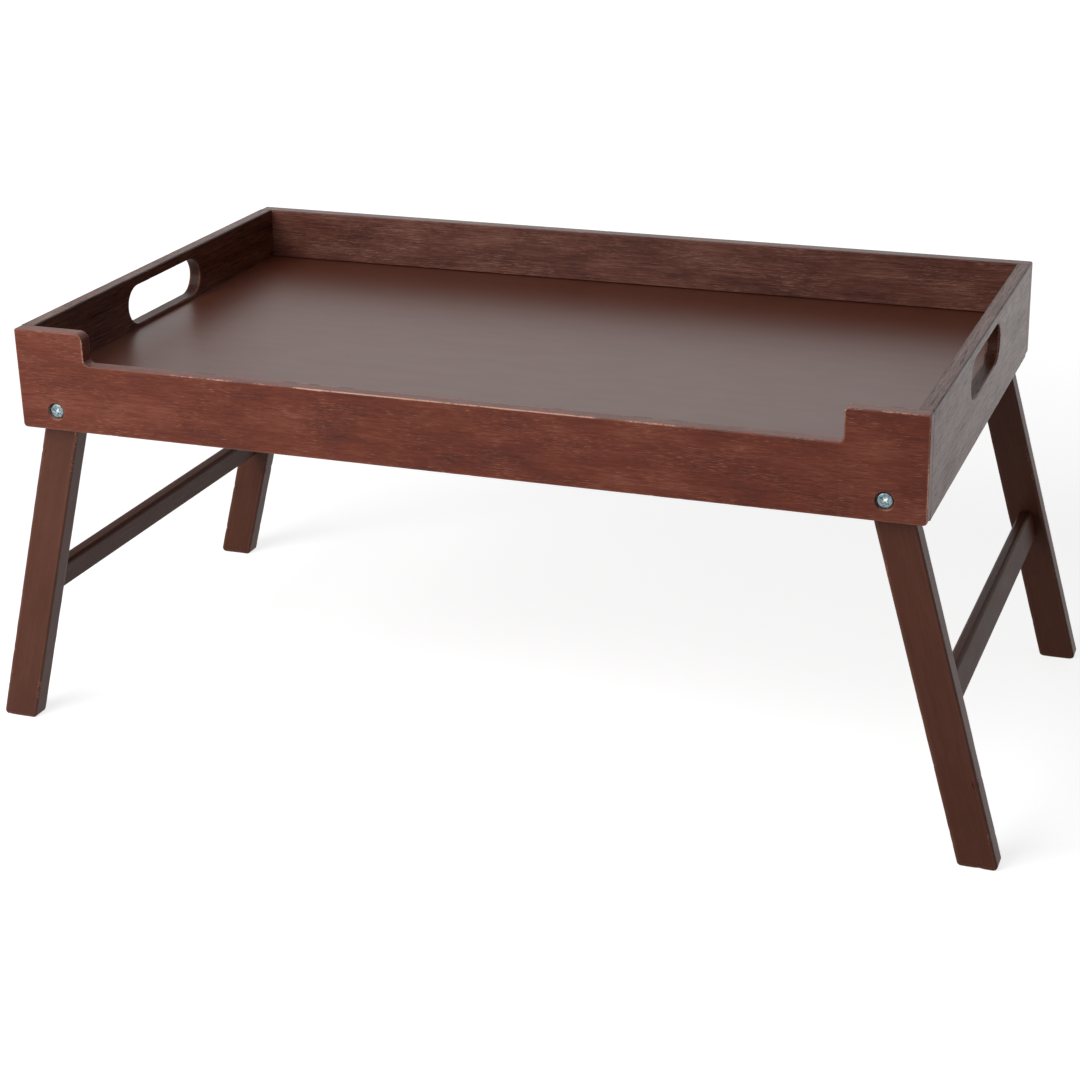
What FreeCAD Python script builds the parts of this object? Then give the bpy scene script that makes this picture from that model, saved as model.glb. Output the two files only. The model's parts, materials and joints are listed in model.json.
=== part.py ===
import FreeCAD, Part
import math
import os

# Folding bed tray table. Millimetres, +Z up, +X to the sitter's right, the lowered rail at -Y.
# The origin is on the floor, midway between the four feet.
# Everything off centre is drawn once, in the front right corner (+X, -Y), and mirrored to the others.

Vector = FreeCAD.Vector

# Tray frame
TRAY_LENGTH = 510.0
TRAY_WIDTH = 300.0
RAIL_HEIGHT = 57.0
LONG_RAIL_THICKNESS = 8.0
END_RAIL_THICKNESS = 8.0
RAIL_CORNER_RADIUS = 2.0
OUTER_ARRIS = 0.6
INNER_ARRIS = 0.4
STOP_ARRIS_RADIUS = 1.0
TRAY_UNDERSIDE = 189.0

# Corner joints: a stub tongue on each end of an end rail, housed in the long rail
TONGUE_LENGTH = 4.0
TONGUE_THICKNESS = 3.0
TONGUE_SHOULDER = 7.0

# Lowered middle of the front rail, for reading and leaning over the tray
SHOULDER_LENGTH = 42.5
LOWERING_DEPTH = 18.0
SHOULDER_RADIUS = 4.0
LOWERING_RADIUS = 3.0

# Hand holes in the end rails
HAND_HOLE_LENGTH = 86.0
HAND_HOLE_HEIGHT = 23.0
HAND_HOLE_DROP = 17.5
HAND_HOLE_ARRIS = 0.8

# Panel, held in a groove round the inside of the frame
PANEL_THICKNESS = 4.0
PANEL_GROOVE_DEPTH = 3.0
PANEL_EDGE_CLEARANCE = 0.3
PANEL_GROOVE_PLAY = 0.1
PANEL_OVER_LEG_CLEARANCE = 0.4

# Legs
LEG_WIDTH = 20.8
LEG_THICKNESS = 12.0
LEG_SPLAY_DEG = 15.0
LEG_ARRIS = 0.9
FOOT_CORNER_RADIUS = 2.5
LEG_STOP_GAP = 0.15
PIVOT_RISE = 10.6

# Stretcher between the two legs of one frame
STRETCHER_DEPTH = 18.0
STRETCHER_THICKNESS = 8.0
STRETCHER_ARRIS_RADIUS = 2.5
STRETCHER_DISTANCE = 117.2
TENON_LENGTH = 7.0
TENON_SHOULDER = 2.0

# Play of a tongue or tenon in its housing: beside it, and past its end
JOINT_CLEARANCE = 0.05
JOINT_END_SPARE = 0.4

# Pivot hardware
SHANK_DIAMETER = 4.0
HEAD_DIAMETER = 8.4
HEAD_HEIGHT = 2.4
HEAD_RIM_HEIGHT = 1.2
HEAD_FLAT_DIAMETER = 5.4
HEAD_RECESS_DIAMETER = 10.0
HEAD_RECESS_DEPTH = 3.6
DRIVE_SLOT_LENGTH = 4.6
DRIVE_SLOT_WIDTH = 1.0
DRIVE_SLOT_DEPTH = 1.5
SHANK_HOLE_CLEARANCE = 0.05
PIVOT_CLEARANCE = 0.08
SPACER_DIAMETER = 10.0
SPACER_THICKNESS = 0.6
SIDE_PLAY = 0.2
WASHER_DIAMETER = 9.0
WASHER_THICKNESS = 0.8
NUT_ACROSS_FLATS = 7.0
NUT_HEIGHT = 4.4
NUT_POCKET_DIAMETER = 10.6
NUT_SINK = 0.2
SHANK_BEYOND_NUT = 0.1

# Places that follow from the sizes above
HALF_LENGTH = TRAY_LENGTH / 2
HALF_WIDTH = TRAY_WIDTH / 2
TRAY_TOP = TRAY_UNDERSIDE + RAIL_HEIGHT
INNER_HALF_LENGTH = HALF_LENGTH - END_RAIL_THICKNESS
INNER_HALF_WIDTH = HALF_WIDTH - LONG_RAIL_THICKNESS
PANEL_BOTTOM = TRAY_UNDERSIDE + PIVOT_RISE + LEG_WIDTH / 2 + PANEL_OVER_LEG_CLEARANCE
SPLAY = math.radians(LEG_SPLAY_DEG)
LEG_DOWN = Vector(math.sin(SPLAY), 0, -math.cos(SPLAY))
LEG_OUT = Vector(math.cos(SPLAY), 0, math.sin(SPLAY))

# A leg opens until its outer edge meets the rounded lower inner arris of the end rail.
# The pivot stands as far in from that arris as puts the leg at its splay there.
STOP_REACH = LEG_WIDTH / 2 + LEG_STOP_GAP + STOP_ARRIS_RADIUS
STOP_DROP = PIVOT_RISE - STOP_ARRIS_RADIUS
PIVOT_TO_ARRIS = (STOP_REACH + STOP_DROP * math.sin(SPLAY)) / math.cos(SPLAY)
PIVOT_X = INNER_HALF_LENGTH + STOP_ARRIS_RADIUS - PIVOT_TO_ARRIS
PIVOT_Z = TRAY_UNDERSIDE + PIVOT_RISE
PIVOT = Vector(PIVOT_X, 0, PIVOT_Z)

# Distances from the middle of the tray (Y = 0) outwards, along one pivot
RECESS_FLOOR_Y = HALF_WIDTH - HEAD_RECESS_DEPTH
LEG_OUTER_Y = INNER_HALF_WIDTH - SPACER_THICKNESS - SIDE_PLAY
LEG_INNER_Y = LEG_OUTER_Y - LEG_THICKNESS
NUT_END_Y = LEG_INNER_Y + NUT_SINK
NUT_SEAT_Y = NUT_END_Y + NUT_HEIGHT
WASHER_SEAT_Y = NUT_SEAT_Y + WASHER_THICKNESS
NUT_POCKET_FLOOR_Y = WASHER_SEAT_Y + SIDE_PLAY
SHANK_END_Y = NUT_END_Y - SHANK_BEYOND_NUT
STRETCHER_CENTRE = PIVOT + LEG_DOWN * STRETCHER_DISTANCE

SIDES = {"left": -1, "right": 1}
FACES = {"front": -1, "back": 1}

# How near two places lie to count as one
SAME_PLACE = 1e-4


def block(x_range, y_range, z_range):
    """Box between the given limits."""
    corner = Vector(x_range[0], y_range[0], z_range[0])
    size = [limits[1] - limits[0] for limits in (x_range, y_range, z_range)]
    return Part.makeBox(size[0], size[1], size[2], corner)


def rounded_outline(corners):
    """Closed wire through (point, radius) corners, each rounded by an arc of its radius."""
    count = len(corners)
    cuts = []
    for index, (point, radius) in enumerate(corners):
        back = (corners[index - 1][0] - point).normalize()
        ahead = (corners[(index + 1) % count][0] - point).normalize()
        half_angle = back.getAngle(ahead) / 2
        reach = radius / math.tan(half_angle)
        inwards = (back + ahead).normalize()
        middle = point + inwards * (radius / math.sin(half_angle) - radius)
        cuts.append((point + back * reach, middle, point + ahead * reach))
    edges = []
    for index, (start, middle, end) in enumerate(cuts):
        following = cuts[(index + 1) % count][0]
        if start.distanceToPoint(end) > SAME_PLACE:
            edges.append(Part.Arc(start, middle, end).toShape())
        if end.distanceToPoint(following) > SAME_PLACE:
            edges.append(Part.LineSegment(end, following).toShape())
    return Part.Wire(Part.__sortEdges__(edges))


def slab(outline, near_y, far_y):
    """Outline drawn in the XZ plane, made solid from near_y to far_y."""
    face = Part.Face(outline)
    face.translate(Vector(0, near_y, 0))
    return face.extrude(Vector(0, far_y - near_y, 0))


def rounded(solid, radius, chosen):
    """Solid with the arrises that chosen(bounding box) picks rounded to the radius."""
    return solid.makeFillet(radius, [edge for edge in solid.Edges if chosen(edge.BoundBox)])


def bevelled(solid, width, chosen):
    """Solid with the arrises that chosen(bounding box) picks bevelled, the width off each face."""
    return solid.makeChamfer(width, [edge for edge in solid.Edges if chosen(edge.BoundBox)])


def lies_on(low, high, value):
    """True where a bounding box's low and high both lie on the value."""
    return abs(low - value) < SAME_PLACE and abs(high - value) < SAME_PLACE


def across(diameter, outer_y, inner_y):
    """Cylinder on the front right pivot, from -outer_y to -inner_y."""
    base = Vector(PIVOT_X, -outer_y, PIVOT_Z)
    return Part.makeCylinder(diameter / 2, outer_y - inner_y, base, Vector(0, 1, 0))


def ring(outer_diameter, inner_diameter, outer_y, inner_y):
    """Flat washer round the pivot."""
    return across(outer_diameter, outer_y, inner_y).cut(across(inner_diameter, outer_y, inner_y))


def to_corner(shape, side, face):
    """Shape from the front right corner, mirrored to the wanted corner of the table."""
    if side < 0:
        shape = shape.mirror(Vector(0, 0, 0), Vector(1, 0, 0))
    if face > 0:
        shape = shape.mirror(Vector(0, 0, 0), Vector(0, 1, 0))
    return shape


def at_both_faces(shape):
    """Shape at the front, and its mirror image at the back."""
    return [to_corner(shape, SIDES["right"], face) for face in FACES.values()]


def tongue(clearance, end_spare):
    """Tongue of the front right corner joint, on the inner side of the end rail, or its housing."""
    inner_x = INNER_HALF_LENGTH - clearance
    outer_x = INNER_HALF_LENGTH + TONGUE_THICKNESS + clearance
    bottom = TRAY_UNDERSIDE + TONGUE_SHOULDER - clearance
    top = TRAY_TOP - TONGUE_SHOULDER + clearance
    tip_y = INNER_HALF_WIDTH + TONGUE_LENGTH + end_spare
    return block((inner_x, outer_x), (-tip_y, -INNER_HALF_WIDTH), (bottom, top))


def stretcher_section(shoulder, radius):
    """Outline of the right stretcher, or of what is left of it inside a shoulder."""
    down = LEG_DOWN * (STRETCHER_DEPTH / 2 - shoulder)
    out = LEG_OUT * (STRETCHER_THICKNESS / 2 - shoulder)
    places = (out + down, out - down, Vector() - out - down, down - out)
    return rounded_outline([(STRETCHER_CENTRE + place, radius) for place in places])


def tenon(clearance, end_spare):
    """Tenon at the front end of the right stretcher, or its mortise in the leg."""
    tip_y = LEG_INNER_Y + TENON_LENGTH + end_spare
    return slab(stretcher_section(TENON_SHOULDER - clearance, 0.0), -tip_y, -LEG_INNER_Y)


def panel_groove():
    """Space of the groove round the inside of the frame, with the panel's own place."""
    reach_x = INNER_HALF_LENGTH + PANEL_GROOVE_DEPTH
    reach_y = INNER_HALF_WIDTH + PANEL_GROOVE_DEPTH
    top = PANEL_BOTTOM + PANEL_THICKNESS + PANEL_GROOVE_PLAY
    return block((-reach_x, reach_x), (-reach_y, reach_y), (PANEL_BOTTOM, top))


def long_rail(outline):
    """Front or back rail at the front of the tray, with its groove, pivot holes and housings."""
    rail = slab(outline, -HALF_WIDTH, -INNER_HALF_WIDTH)
    rail = bevelled(rail, OUTER_ARRIS, lambda box: lies_on(box.YMin, box.YMax, -HALF_WIDTH))
    rail = bevelled(rail, INNER_ARRIS, lambda box: lies_on(box.YMin, box.YMax, -INNER_HALF_WIDTH))
    holes = [
        tongue(JOINT_CLEARANCE, JOINT_END_SPARE),
        across(HEAD_RECESS_DIAMETER, HALF_WIDTH, RECESS_FLOOR_Y),
        across(SHANK_DIAMETER + 2 * SHANK_HOLE_CLEARANCE, RECESS_FLOOR_Y, INNER_HALF_WIDTH),
    ]
    at_both_ends = [to_corner(hole, side, FACES["front"]) for hole in holes for side in SIDES.values()]
    return rail.cut(panel_groove()).cut(at_both_ends)


def front_rail():
    """Front rail: full height at its two shoulders, lowered between them."""
    step_x = HALF_LENGTH - SHOULDER_LENGTH
    step_z = TRAY_TOP - LOWERING_DEPTH
    half = [
        (Vector(step_x, 0, step_z), LOWERING_RADIUS),
        (Vector(step_x, 0, TRAY_TOP), SHOULDER_RADIUS),
        (Vector(HALF_LENGTH, 0, TRAY_TOP), RAIL_CORNER_RADIUS),
        (Vector(HALF_LENGTH, 0, TRAY_UNDERSIDE), RAIL_CORNER_RADIUS),
    ]
    mirrored = [(Vector(-point.x, 0, point.z), radius) for point, radius in reversed(half)]
    return long_rail(rounded_outline(half + mirrored))


def back_rail():
    """Back rail: full height all along."""
    reaches = ((-1, TRAY_UNDERSIDE), (1, TRAY_UNDERSIDE), (1, TRAY_TOP), (-1, TRAY_TOP))
    corners = [(Vector(sign * HALF_LENGTH, 0, z), RAIL_CORNER_RADIUS) for sign, z in reaches]
    return to_corner(long_rail(rounded_outline(corners)), SIDES["right"], FACES["back"])


def hand_hole():
    """Stadium cutter through the right end rail."""
    radius = HAND_HOLE_HEIGHT / 2
    centre_z = TRAY_TOP - HAND_HOLE_DROP
    straight = HAND_HOLE_LENGTH / 2 - radius
    heights = (centre_z - radius, centre_z + radius)
    bar = block((INNER_HALF_LENGTH, HALF_LENGTH), (-straight, straight), heights)
    for y in (-straight, straight):
        base = Vector(INNER_HALF_LENGTH, y, centre_z)
        bar = bar.fuse(Part.makeCylinder(radius, END_RAIL_THICKNESS, base, Vector(1, 0, 0)))
    return bar.removeSplitter()


def end_rail():
    """Right end rail, between the long rails, with its hand hole, groove and tongues."""
    reach_y = (-INNER_HALF_WIDTH, INNER_HALF_WIDTH)
    rail = block((INNER_HALF_LENGTH, HALF_LENGTH), reach_y, (TRAY_UNDERSIDE, TRAY_TOP))

    def is_long(box, x):
        return box.YLength > INNER_HALF_WIDTH and lies_on(box.XMin, box.XMax, x)

    rail = bevelled(rail, OUTER_ARRIS, lambda box: is_long(box, HALF_LENGTH))
    rail = rounded(rail, STOP_ARRIS_RADIUS, lambda box: is_long(box, INNER_HALF_LENGTH))
    rail = rail.cut(hand_hole())

    def is_hole_rim(box):
        on_face = any(lies_on(box.XMin, box.XMax, x) for x in (INNER_HALF_LENGTH, HALF_LENGTH))
        return on_face and max(abs(box.YMin), abs(box.YMax)) < HAND_HOLE_LENGTH / 2 + SAME_PLACE

    rail = bevelled(rail, HAND_HOLE_ARRIS, is_hole_rim)
    return rail.fuse(at_both_faces(tongue(0.0, 0.0))).removeSplitter().cut(panel_groove())


def tray_panel():
    """Panel that closes the tray's floor, lying on the lower side of the groove."""
    reach_x = INNER_HALF_LENGTH + PANEL_GROOVE_DEPTH - PANEL_EDGE_CLEARANCE
    reach_y = INNER_HALF_WIDTH + PANEL_GROOVE_DEPTH - PANEL_EDGE_CLEARANCE
    return block((-reach_x, reach_x), (-reach_y, reach_y), (PANEL_BOTTOM, PANEL_BOTTOM + PANEL_THICKNESS))


def leg():
    """Front right leg: round top end about the pivot, level foot, and the pocket for its nut."""
    half = LEG_WIDTH / 2
    to_floor = PIVOT_Z / math.cos(SPLAY)
    slant = half * math.tan(SPLAY)
    top = PIVOT - LEG_DOWN * half
    corners = [
        (PIVOT + LEG_OUT * half + LEG_DOWN * (to_floor + slant), FOOT_CORNER_RADIUS),
        (top + LEG_OUT * half, half),
        (top - LEG_OUT * half, half),
        (PIVOT - LEG_OUT * half + LEG_DOWN * (to_floor - slant), FOOT_CORNER_RADIUS),
    ]
    bar = slab(rounded_outline(corners), -LEG_OUTER_Y, -LEG_INNER_Y)
    for y in (-LEG_OUTER_Y, -LEG_INNER_Y):
        bar = bevelled(bar, LEG_ARRIS, lambda box, y=y: lies_on(box.YMin, box.YMax, y))
    bore = across(SHANK_DIAMETER + 2 * PIVOT_CLEARANCE, LEG_OUTER_Y, LEG_INNER_Y)
    pocket = across(NUT_POCKET_DIAMETER, NUT_POCKET_FLOOR_Y, LEG_INNER_Y)
    return bar.cut([bore, pocket, tenon(JOINT_CLEARANCE, JOINT_END_SPARE)])


def stretcher():
    """Right stretcher, between the inner faces of the two legs and leaning with them, with its tenons."""
    bar = slab(stretcher_section(0.0, STRETCHER_ARRIS_RADIUS), -LEG_INNER_Y, LEG_INNER_Y)
    return bar.fuse(at_both_faces(tenon(0.0, 0.0))).removeSplitter()


def drive_slots(top_y):
    """Two crossed slots sunk in a screw head from its top."""
    half_length = DRIVE_SLOT_LENGTH / 2
    half_width = DRIVE_SLOT_WIDTH / 2
    depth = (-top_y, -top_y + DRIVE_SLOT_DEPTH)
    wide = block((-half_length, half_length), depth, (-half_width, half_width))
    tall = block((-half_width, half_width), depth, (-half_length, half_length))
    slots = wide.fuse(tall)
    slots.translate(PIVOT)
    return slots


def pivot_screw():
    """Front right pivot screw: bevelled pan head in the rail's recess, plain shank to the nut."""
    radius = HEAD_DIAMETER / 2
    top_y = RECESS_FLOOR_Y + HEAD_HEIGHT
    profile = [
        Vector(0, -top_y, 0),
        Vector(HEAD_FLAT_DIAMETER / 2, -top_y, 0),
        Vector(radius, -RECESS_FLOOR_Y - HEAD_RIM_HEIGHT, 0),
        Vector(radius, -RECESS_FLOOR_Y, 0),
        Vector(0, -RECESS_FLOOR_Y, 0),
    ]
    head = Part.Face(Part.makePolygon(profile + profile[:1])).revolve(Vector(), Vector(0, 1, 0), 360)
    head.translate(PIVOT)
    shank = across(SHANK_DIAMETER, RECESS_FLOOR_Y, SHANK_END_Y)
    return head.fuse(shank).removeSplitter().cut(drive_slots(top_y))


def spacer_washer():
    """Thin washer between the rail and the leg."""
    hole = SHANK_DIAMETER + 2 * SHANK_HOLE_CLEARANCE
    return ring(SPACER_DIAMETER, hole, INNER_HALF_WIDTH, INNER_HALF_WIDTH - SPACER_THICKNESS)


def nut_washer():
    """Washer at the bottom of the leg's nut pocket."""
    return ring(WASHER_DIAMETER, SHANK_DIAMETER + 2 * SHANK_HOLE_CLEARANCE, WASHER_SEAT_Y, NUT_SEAT_Y)


def lock_nut():
    """Hexagon lock nut, flush with the leg's inner face but for its sink."""
    corner_radius = NUT_ACROSS_FLATS / 2 / math.cos(math.pi / 6)
    angles = [math.radians(60 * step) for step in range(6)]
    points = [Vector(corner_radius * math.cos(a), 0, corner_radius * math.sin(a)) for a in angles]
    hexagon = Part.Face(Part.makePolygon(points + points[:1]))
    hexagon.translate(Vector(PIVOT_X, -NUT_SEAT_Y, PIVOT_Z))
    bore = across(SHANK_DIAMETER + 2 * SHANK_HOLE_CLEARANCE, NUT_SEAT_Y, NUT_END_Y)
    return hexagon.extrude(Vector(0, NUT_HEIGHT, 0)).cut(bore)


def write(name, shape):
    """One STEP file for one node."""
    shape.exportStep(os.path.join("parts", name + ".step"))


def build():
    """All pieces of the table, by node name."""
    pieces = {"front_rail": front_rail(), "back_rail": back_rail(), "tray_panel": tray_panel()}
    for side_name, side in SIDES.items():
        pieces[side_name + "_end_rail"] = to_corner(end_rail(), side, FACES["front"])
        pieces[side_name + "_stretcher"] = to_corner(stretcher(), side, FACES["front"])
    corner_pieces = {
        "leg": leg(),
        "pivot_screw": pivot_screw(),
        "spacer_washer": spacer_washer(),
        "nut_washer": nut_washer(),
        "lock_nut": lock_nut(),
    }
    for face_name, face in FACES.items():
        for side_name, side in SIDES.items():
            for piece_name, shape in corner_pieces.items():
                node = "_".join((face_name, side_name, piece_name))
                pieces[node] = to_corner(shape, side, face)
    return pieces


os.makedirs("parts", exist_ok=True)
for node_name, node_shape in build().items():
    write(node_name, node_shape)
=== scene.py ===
"""Bed tray table: the looks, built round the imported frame.

Metres, +Z up, +X to the sitter's right, the lowered rail towards -Y, the floor at Z = 0.
"""
import json
import logging
import math
from dataclasses import dataclass, field, replace
from enum import Enum

import bpy
from mathutils import Matrix, Vector, noise
from mathutils.geometry import tessellate_polygon


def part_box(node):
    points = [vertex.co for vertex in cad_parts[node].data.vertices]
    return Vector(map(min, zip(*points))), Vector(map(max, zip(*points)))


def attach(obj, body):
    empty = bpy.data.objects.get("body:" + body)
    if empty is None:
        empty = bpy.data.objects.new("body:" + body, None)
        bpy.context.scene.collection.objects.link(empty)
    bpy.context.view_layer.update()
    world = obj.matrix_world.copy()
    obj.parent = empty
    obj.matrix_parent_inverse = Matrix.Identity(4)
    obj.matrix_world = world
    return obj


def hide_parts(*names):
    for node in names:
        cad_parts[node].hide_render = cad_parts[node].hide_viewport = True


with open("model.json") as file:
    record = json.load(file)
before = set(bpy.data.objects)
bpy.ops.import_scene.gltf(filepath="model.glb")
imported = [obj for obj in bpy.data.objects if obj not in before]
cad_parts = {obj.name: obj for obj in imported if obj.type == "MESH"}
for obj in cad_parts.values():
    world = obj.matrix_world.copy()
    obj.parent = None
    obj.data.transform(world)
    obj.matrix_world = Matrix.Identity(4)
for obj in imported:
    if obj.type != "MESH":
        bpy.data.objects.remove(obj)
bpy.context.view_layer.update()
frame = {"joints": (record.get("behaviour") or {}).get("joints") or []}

MM = 0.001
TRAY_BODY = "tray"
ALONG, ACROSS, UP = Vector((1, 0, 0)), Vector((0, 1, 0)), Vector((0, 0, 1))

logging.basicConfig(level=logging.INFO, format="%(levelname)s %(message)s")
log = logging.getLogger("bed_tray_table")


class Place(Enum):
    """A place that the names of nodes and pieces tell."""

    @property
    def word(self) -> str:
        """Its word in those names."""
        return self.name.lower()


class Side(Place):
    """Which end of the table."""

    LEFT = -1
    RIGHT = 1


class Face(Place):
    """Which long side of the table."""

    FRONT = -1
    BACK = 1


class Slot(Enum):
    """Material slots of the record."""

    RAIL = "rail_wood"
    PANEL = "panel_wood"
    LEG = "leg_wood"
    ZINC = "zinc_plated_steel"
    NYLON = "nylon"


# ---------------------------------------------------------------- outlines and boards

# Largest turns between stations on arcs, and what counts as no turn and as no length.
OUTLINE_ARC_STEP, OPENING_ARC_STEP = math.radians(11.25), math.radians(7.5)
TURN_SLACK, LENGTH_SLACK = 1e-6, 1e-7

# Pieces of an arris's round, past which its wear fades out over this share of its radius from this much.
ARRIS_STEPS, HALO_REACH, HALO_WEAR = 4, 0.45, 0.45

# How cut walls are painted: darker in a hand hole, from soaked stain and painted shade, and paler in a
# screw's recess, as painted light.
HOLE_SOAK_AND_SHADE, RECESS_PAINTED_LIGHT, RECESS_FLOOR_PAINTED_LIGHT = 0.75, -1.0, -0.5

# Small forms in recesses and pockets, and how far a recess's wear reaches, in radii of its arris.
RECESS_FILLET, FILLET_BULGE, BORE_BEVEL, POCKET_BEVEL = 0.25 * MM, 0.3, 0.15 * MM, 0.1 * MM
RECESS_MARGIN, RECESS_RUB = 2.2, 0.35

# Unevenness of a sanded arris: its ripple, then its dents.
RIPPLE_SIZE, RIPPLE_HEIGHT, RIPPLE_SEED = 9 * MM, 0.25, 0.173
DENT_SCALE, DENT_SHIFT = 2.3, Vector((7.1, 3.3, 1.7))
DENT_LEVEL, DENT_GAIN, DENT_LIMIT = 0.42, 2.6, 0.75

# Chips in a back arris: their size along and up the board, and how their noise becomes chips.
CHIP_LENGTH, CHIP_HEIGHT, CHIP_SEED = 11 * MM, 5 * MM, 3.1
CHIP_LEVEL, CHIP_GAIN = 0.12, 6

# Moves the grain of each board, times its seed.
GRAIN_SHIFT = Vector((1.37, 0.71, 0.31))


@dataclass(frozen=True)
class Corner:
    """Corner of an outline in a board's own plane.

    share is what the run after it has of the board's arris, and rub how pale that run's arris line is, from
    stain rubbed through and, on the front rail, a painted highlight, or below 0 how far it is soaked darker.
    """

    u: float
    v: float
    radius: float = 0.0
    share: float = 1.0
    rub: float = 1.0


@dataclass(frozen=True)
class Station:
    """Point of a sampled outline: its place, the way out of the wood, its share of the arris and its rub,
    which sets its wear and painted highlight.
    """

    place: Vector
    outward: Vector
    share: float
    rub: float


@dataclass(frozen=True)
class Ring:
    """Where one ring of an edge's section lies, from the outline into the wood and from the front face down.

    The arris parts are multiplied by the share of the arris at each station. wear is 1 on the arris itself,
    the shading value is 1 where the wood is darker, from stain that soaked in and painted shade, and -1 where
    it is paler as painted light, and sawn is 1 on a side with saw marks.
    """

    inset: float = 0.0
    depth: float = 0.0
    arris_inset: float = 0.0
    arris_depth: float = 0.0
    wear: float = 0.0
    soak: float = 0.0
    sawn: float = 0.0


def right_of(direction: Vector) -> Vector:
    """Direction turned clockwise by a right angle."""
    return Vector((direction.y, -direction.x))


def turn_between(first: Vector, second: Vector) -> float:
    """Signed turn from one direction to the next in radians, positive to the left."""
    return math.atan2(first.x * second.y - first.y * second.x, first.dot(second))


def sampled(corners: list[Corner], spacing: float, arc_step: float) -> list[Station]:
    """Samples an outline with rounded corners.

    Args:
        corners: Corners in order, counterclockwise round wood and clockwise round a hole.
        spacing: Distance between stations on straight runs.
        arc_step: Largest turn between stations on arcs.

    Returns:
        The stations in order.
    """
    count = len(corners)
    points = [Vector((corner.u, corner.v)) for corner in corners]
    runs = [(points[(i + 1) % count] - points[i]).normalized() for i in range(count)]
    turns = [turn_between(runs[i - 1], runs[i]) for i in range(count)]
    reaches = [corners[i].radius * math.tan(abs(turns[i]) / 2) for i in range(count)]
    found: list[Station] = []
    for i, corner in enumerate(corners):
        first, last = right_of(runs[i - 1]), right_of(runs[i])
        before, after = (Vector((one.share, one.rub)) for one in (corners[i - 1], corner))
        if corner.radius > 0:
            side = math.copysign(1.0, turns[i])
            centre = points[i] - runs[i - 1] * reaches[i] - first * corner.radius * side
            steps = max(1, math.ceil(abs(turns[i]) / arc_step - TURN_SLACK))
            for step in range(steps + 1):
                part = step / steps
                normal = Matrix.Rotation(turns[i] * part, 2) @ first
                place = centre + normal * corner.radius * side
                found.append(Station(place, normal, *before.lerp(after, part)))
        else:
            mitre = (first + last) / (1 + first.dot(last))
            found.append(Station(points[i].copy(), mitre, *before.lerp(after, 0.5)))
        start = points[i] + runs[i] * reaches[i]
        following = (i + 1) % count
        length = (points[following] - runs[i] * reaches[following] - start).length
        pieces = int(length / spacing)
        for piece in range(1, pieces):
            found.append(Station(start + runs[i] * length * piece / pieces, last.copy(), *after))
        if length < LENGTH_SLACK and corners[following].radius > 0 and corner.radius > 0:
            found.pop()
    return found


def rectangle(u_low: float, u_high: float, v_low: float, v_high: float, radius: float = 0.0,
              end_share: float = 1.0, rub: float = 1.0) -> list[Corner]:
    """Corners of a rectangle, counterclockwise.

    Args:
        u_low: Lowest u.
        u_high: Highest u.
        v_low: Lowest v.
        v_high: Highest v.
        radius: Radius of its corners.
        end_share: Share of the arris on its two ends, at the lowest and highest u.
        rub: How pale its edges' arris lines are, from stain rubbed through and painted highlight.

    Returns:
        The four corners.
    """
    return [
        Corner(u_low, v_low, radius, 1.0, rub),
        Corner(u_high, v_low, radius, end_share, rub),
        Corner(u_high, v_high, radius, 1.0, rub),
        Corner(u_low, v_high, radius, end_share, rub),
    ]


def clockwise(corners: list[Corner]) -> list[Corner]:
    """Corners of a uniform outline in clockwise order, for a hole."""
    return list(reversed(corners))


def circle(u: float, v: float, diameter: float, rub: float) -> list[Corner]:
    """Outline of a round hole, clockwise: four corners whose arcs meet."""
    half = diameter / 2
    return clockwise(rectangle(u - half, u + half, v - half, v + half, half, rub=rub))


def arris_rings(radius: float, margin: float, soak: float = 0.0, sawn: float = 0.0) -> list[Ring]:
    """Section of a rounded arris, from the front face over the arris and down the side.

    Args:
        radius: Radius of the arris.
        margin: How far its wear can reach on the face and on the side.
        soak: How much darker the side is, from stain that soaked in and painted shade; below 0, how much
            paler it is as painted light.
        sawn: How much of its saw marks the side keeps.

    Returns:
        The rings from the face to the side.
    """
    halo = radius * HALO_REACH
    rings = [Ring(inset=margin), Ring(inset=halo, arris_inset=radius, wear=HALO_WEAR)]
    for step in range(ARRIS_STEPS + 1):
        angle = math.pi / 2 * step / ARRIS_STEPS
        rings.append(Ring(arris_inset=radius * (1 - math.sin(angle)),
                          arris_depth=radius * (1 - math.cos(angle)), wear=1.0))
    rings.append(Ring(depth=halo, arris_depth=radius, wear=HALO_WEAR, soak=soak, sawn=sawn))
    rings.append(Ring(depth=margin, soak=soak, sawn=sawn))
    return rings


def mirrored(rings: list[Ring], thickness: float) -> list[Ring]:
    """Rings measured from the back face instead of the front, in reversed order."""
    return [replace(ring, depth=thickness - ring.depth, arris_depth=-ring.arris_depth)
            for ring in reversed(rings)]


@dataclass(frozen=True)
class Opening:
    """Hole or pocket in a board: its loop, clockwise, and the rings of its wall from front to back.

    A pocket open to the back starts with the ring of its floor.
    """

    loop: list[Corner]
    rings: list[Ring]
    through: bool = True


def through_hole(loop: list[Corner], thickness: float, arris: float, margin: float) -> Opening:
    """Hole whose rims are rounded, and worn within a margin, in the same way on both faces."""
    # The hand hole's walls are painted darker: stain that soaked in, and painted shade inside the hole.
    rings = arris_rings(arris, margin, HOLE_SOAK_AND_SHADE)
    return Opening(loop, rings + mirrored(rings, thickness))


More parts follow.
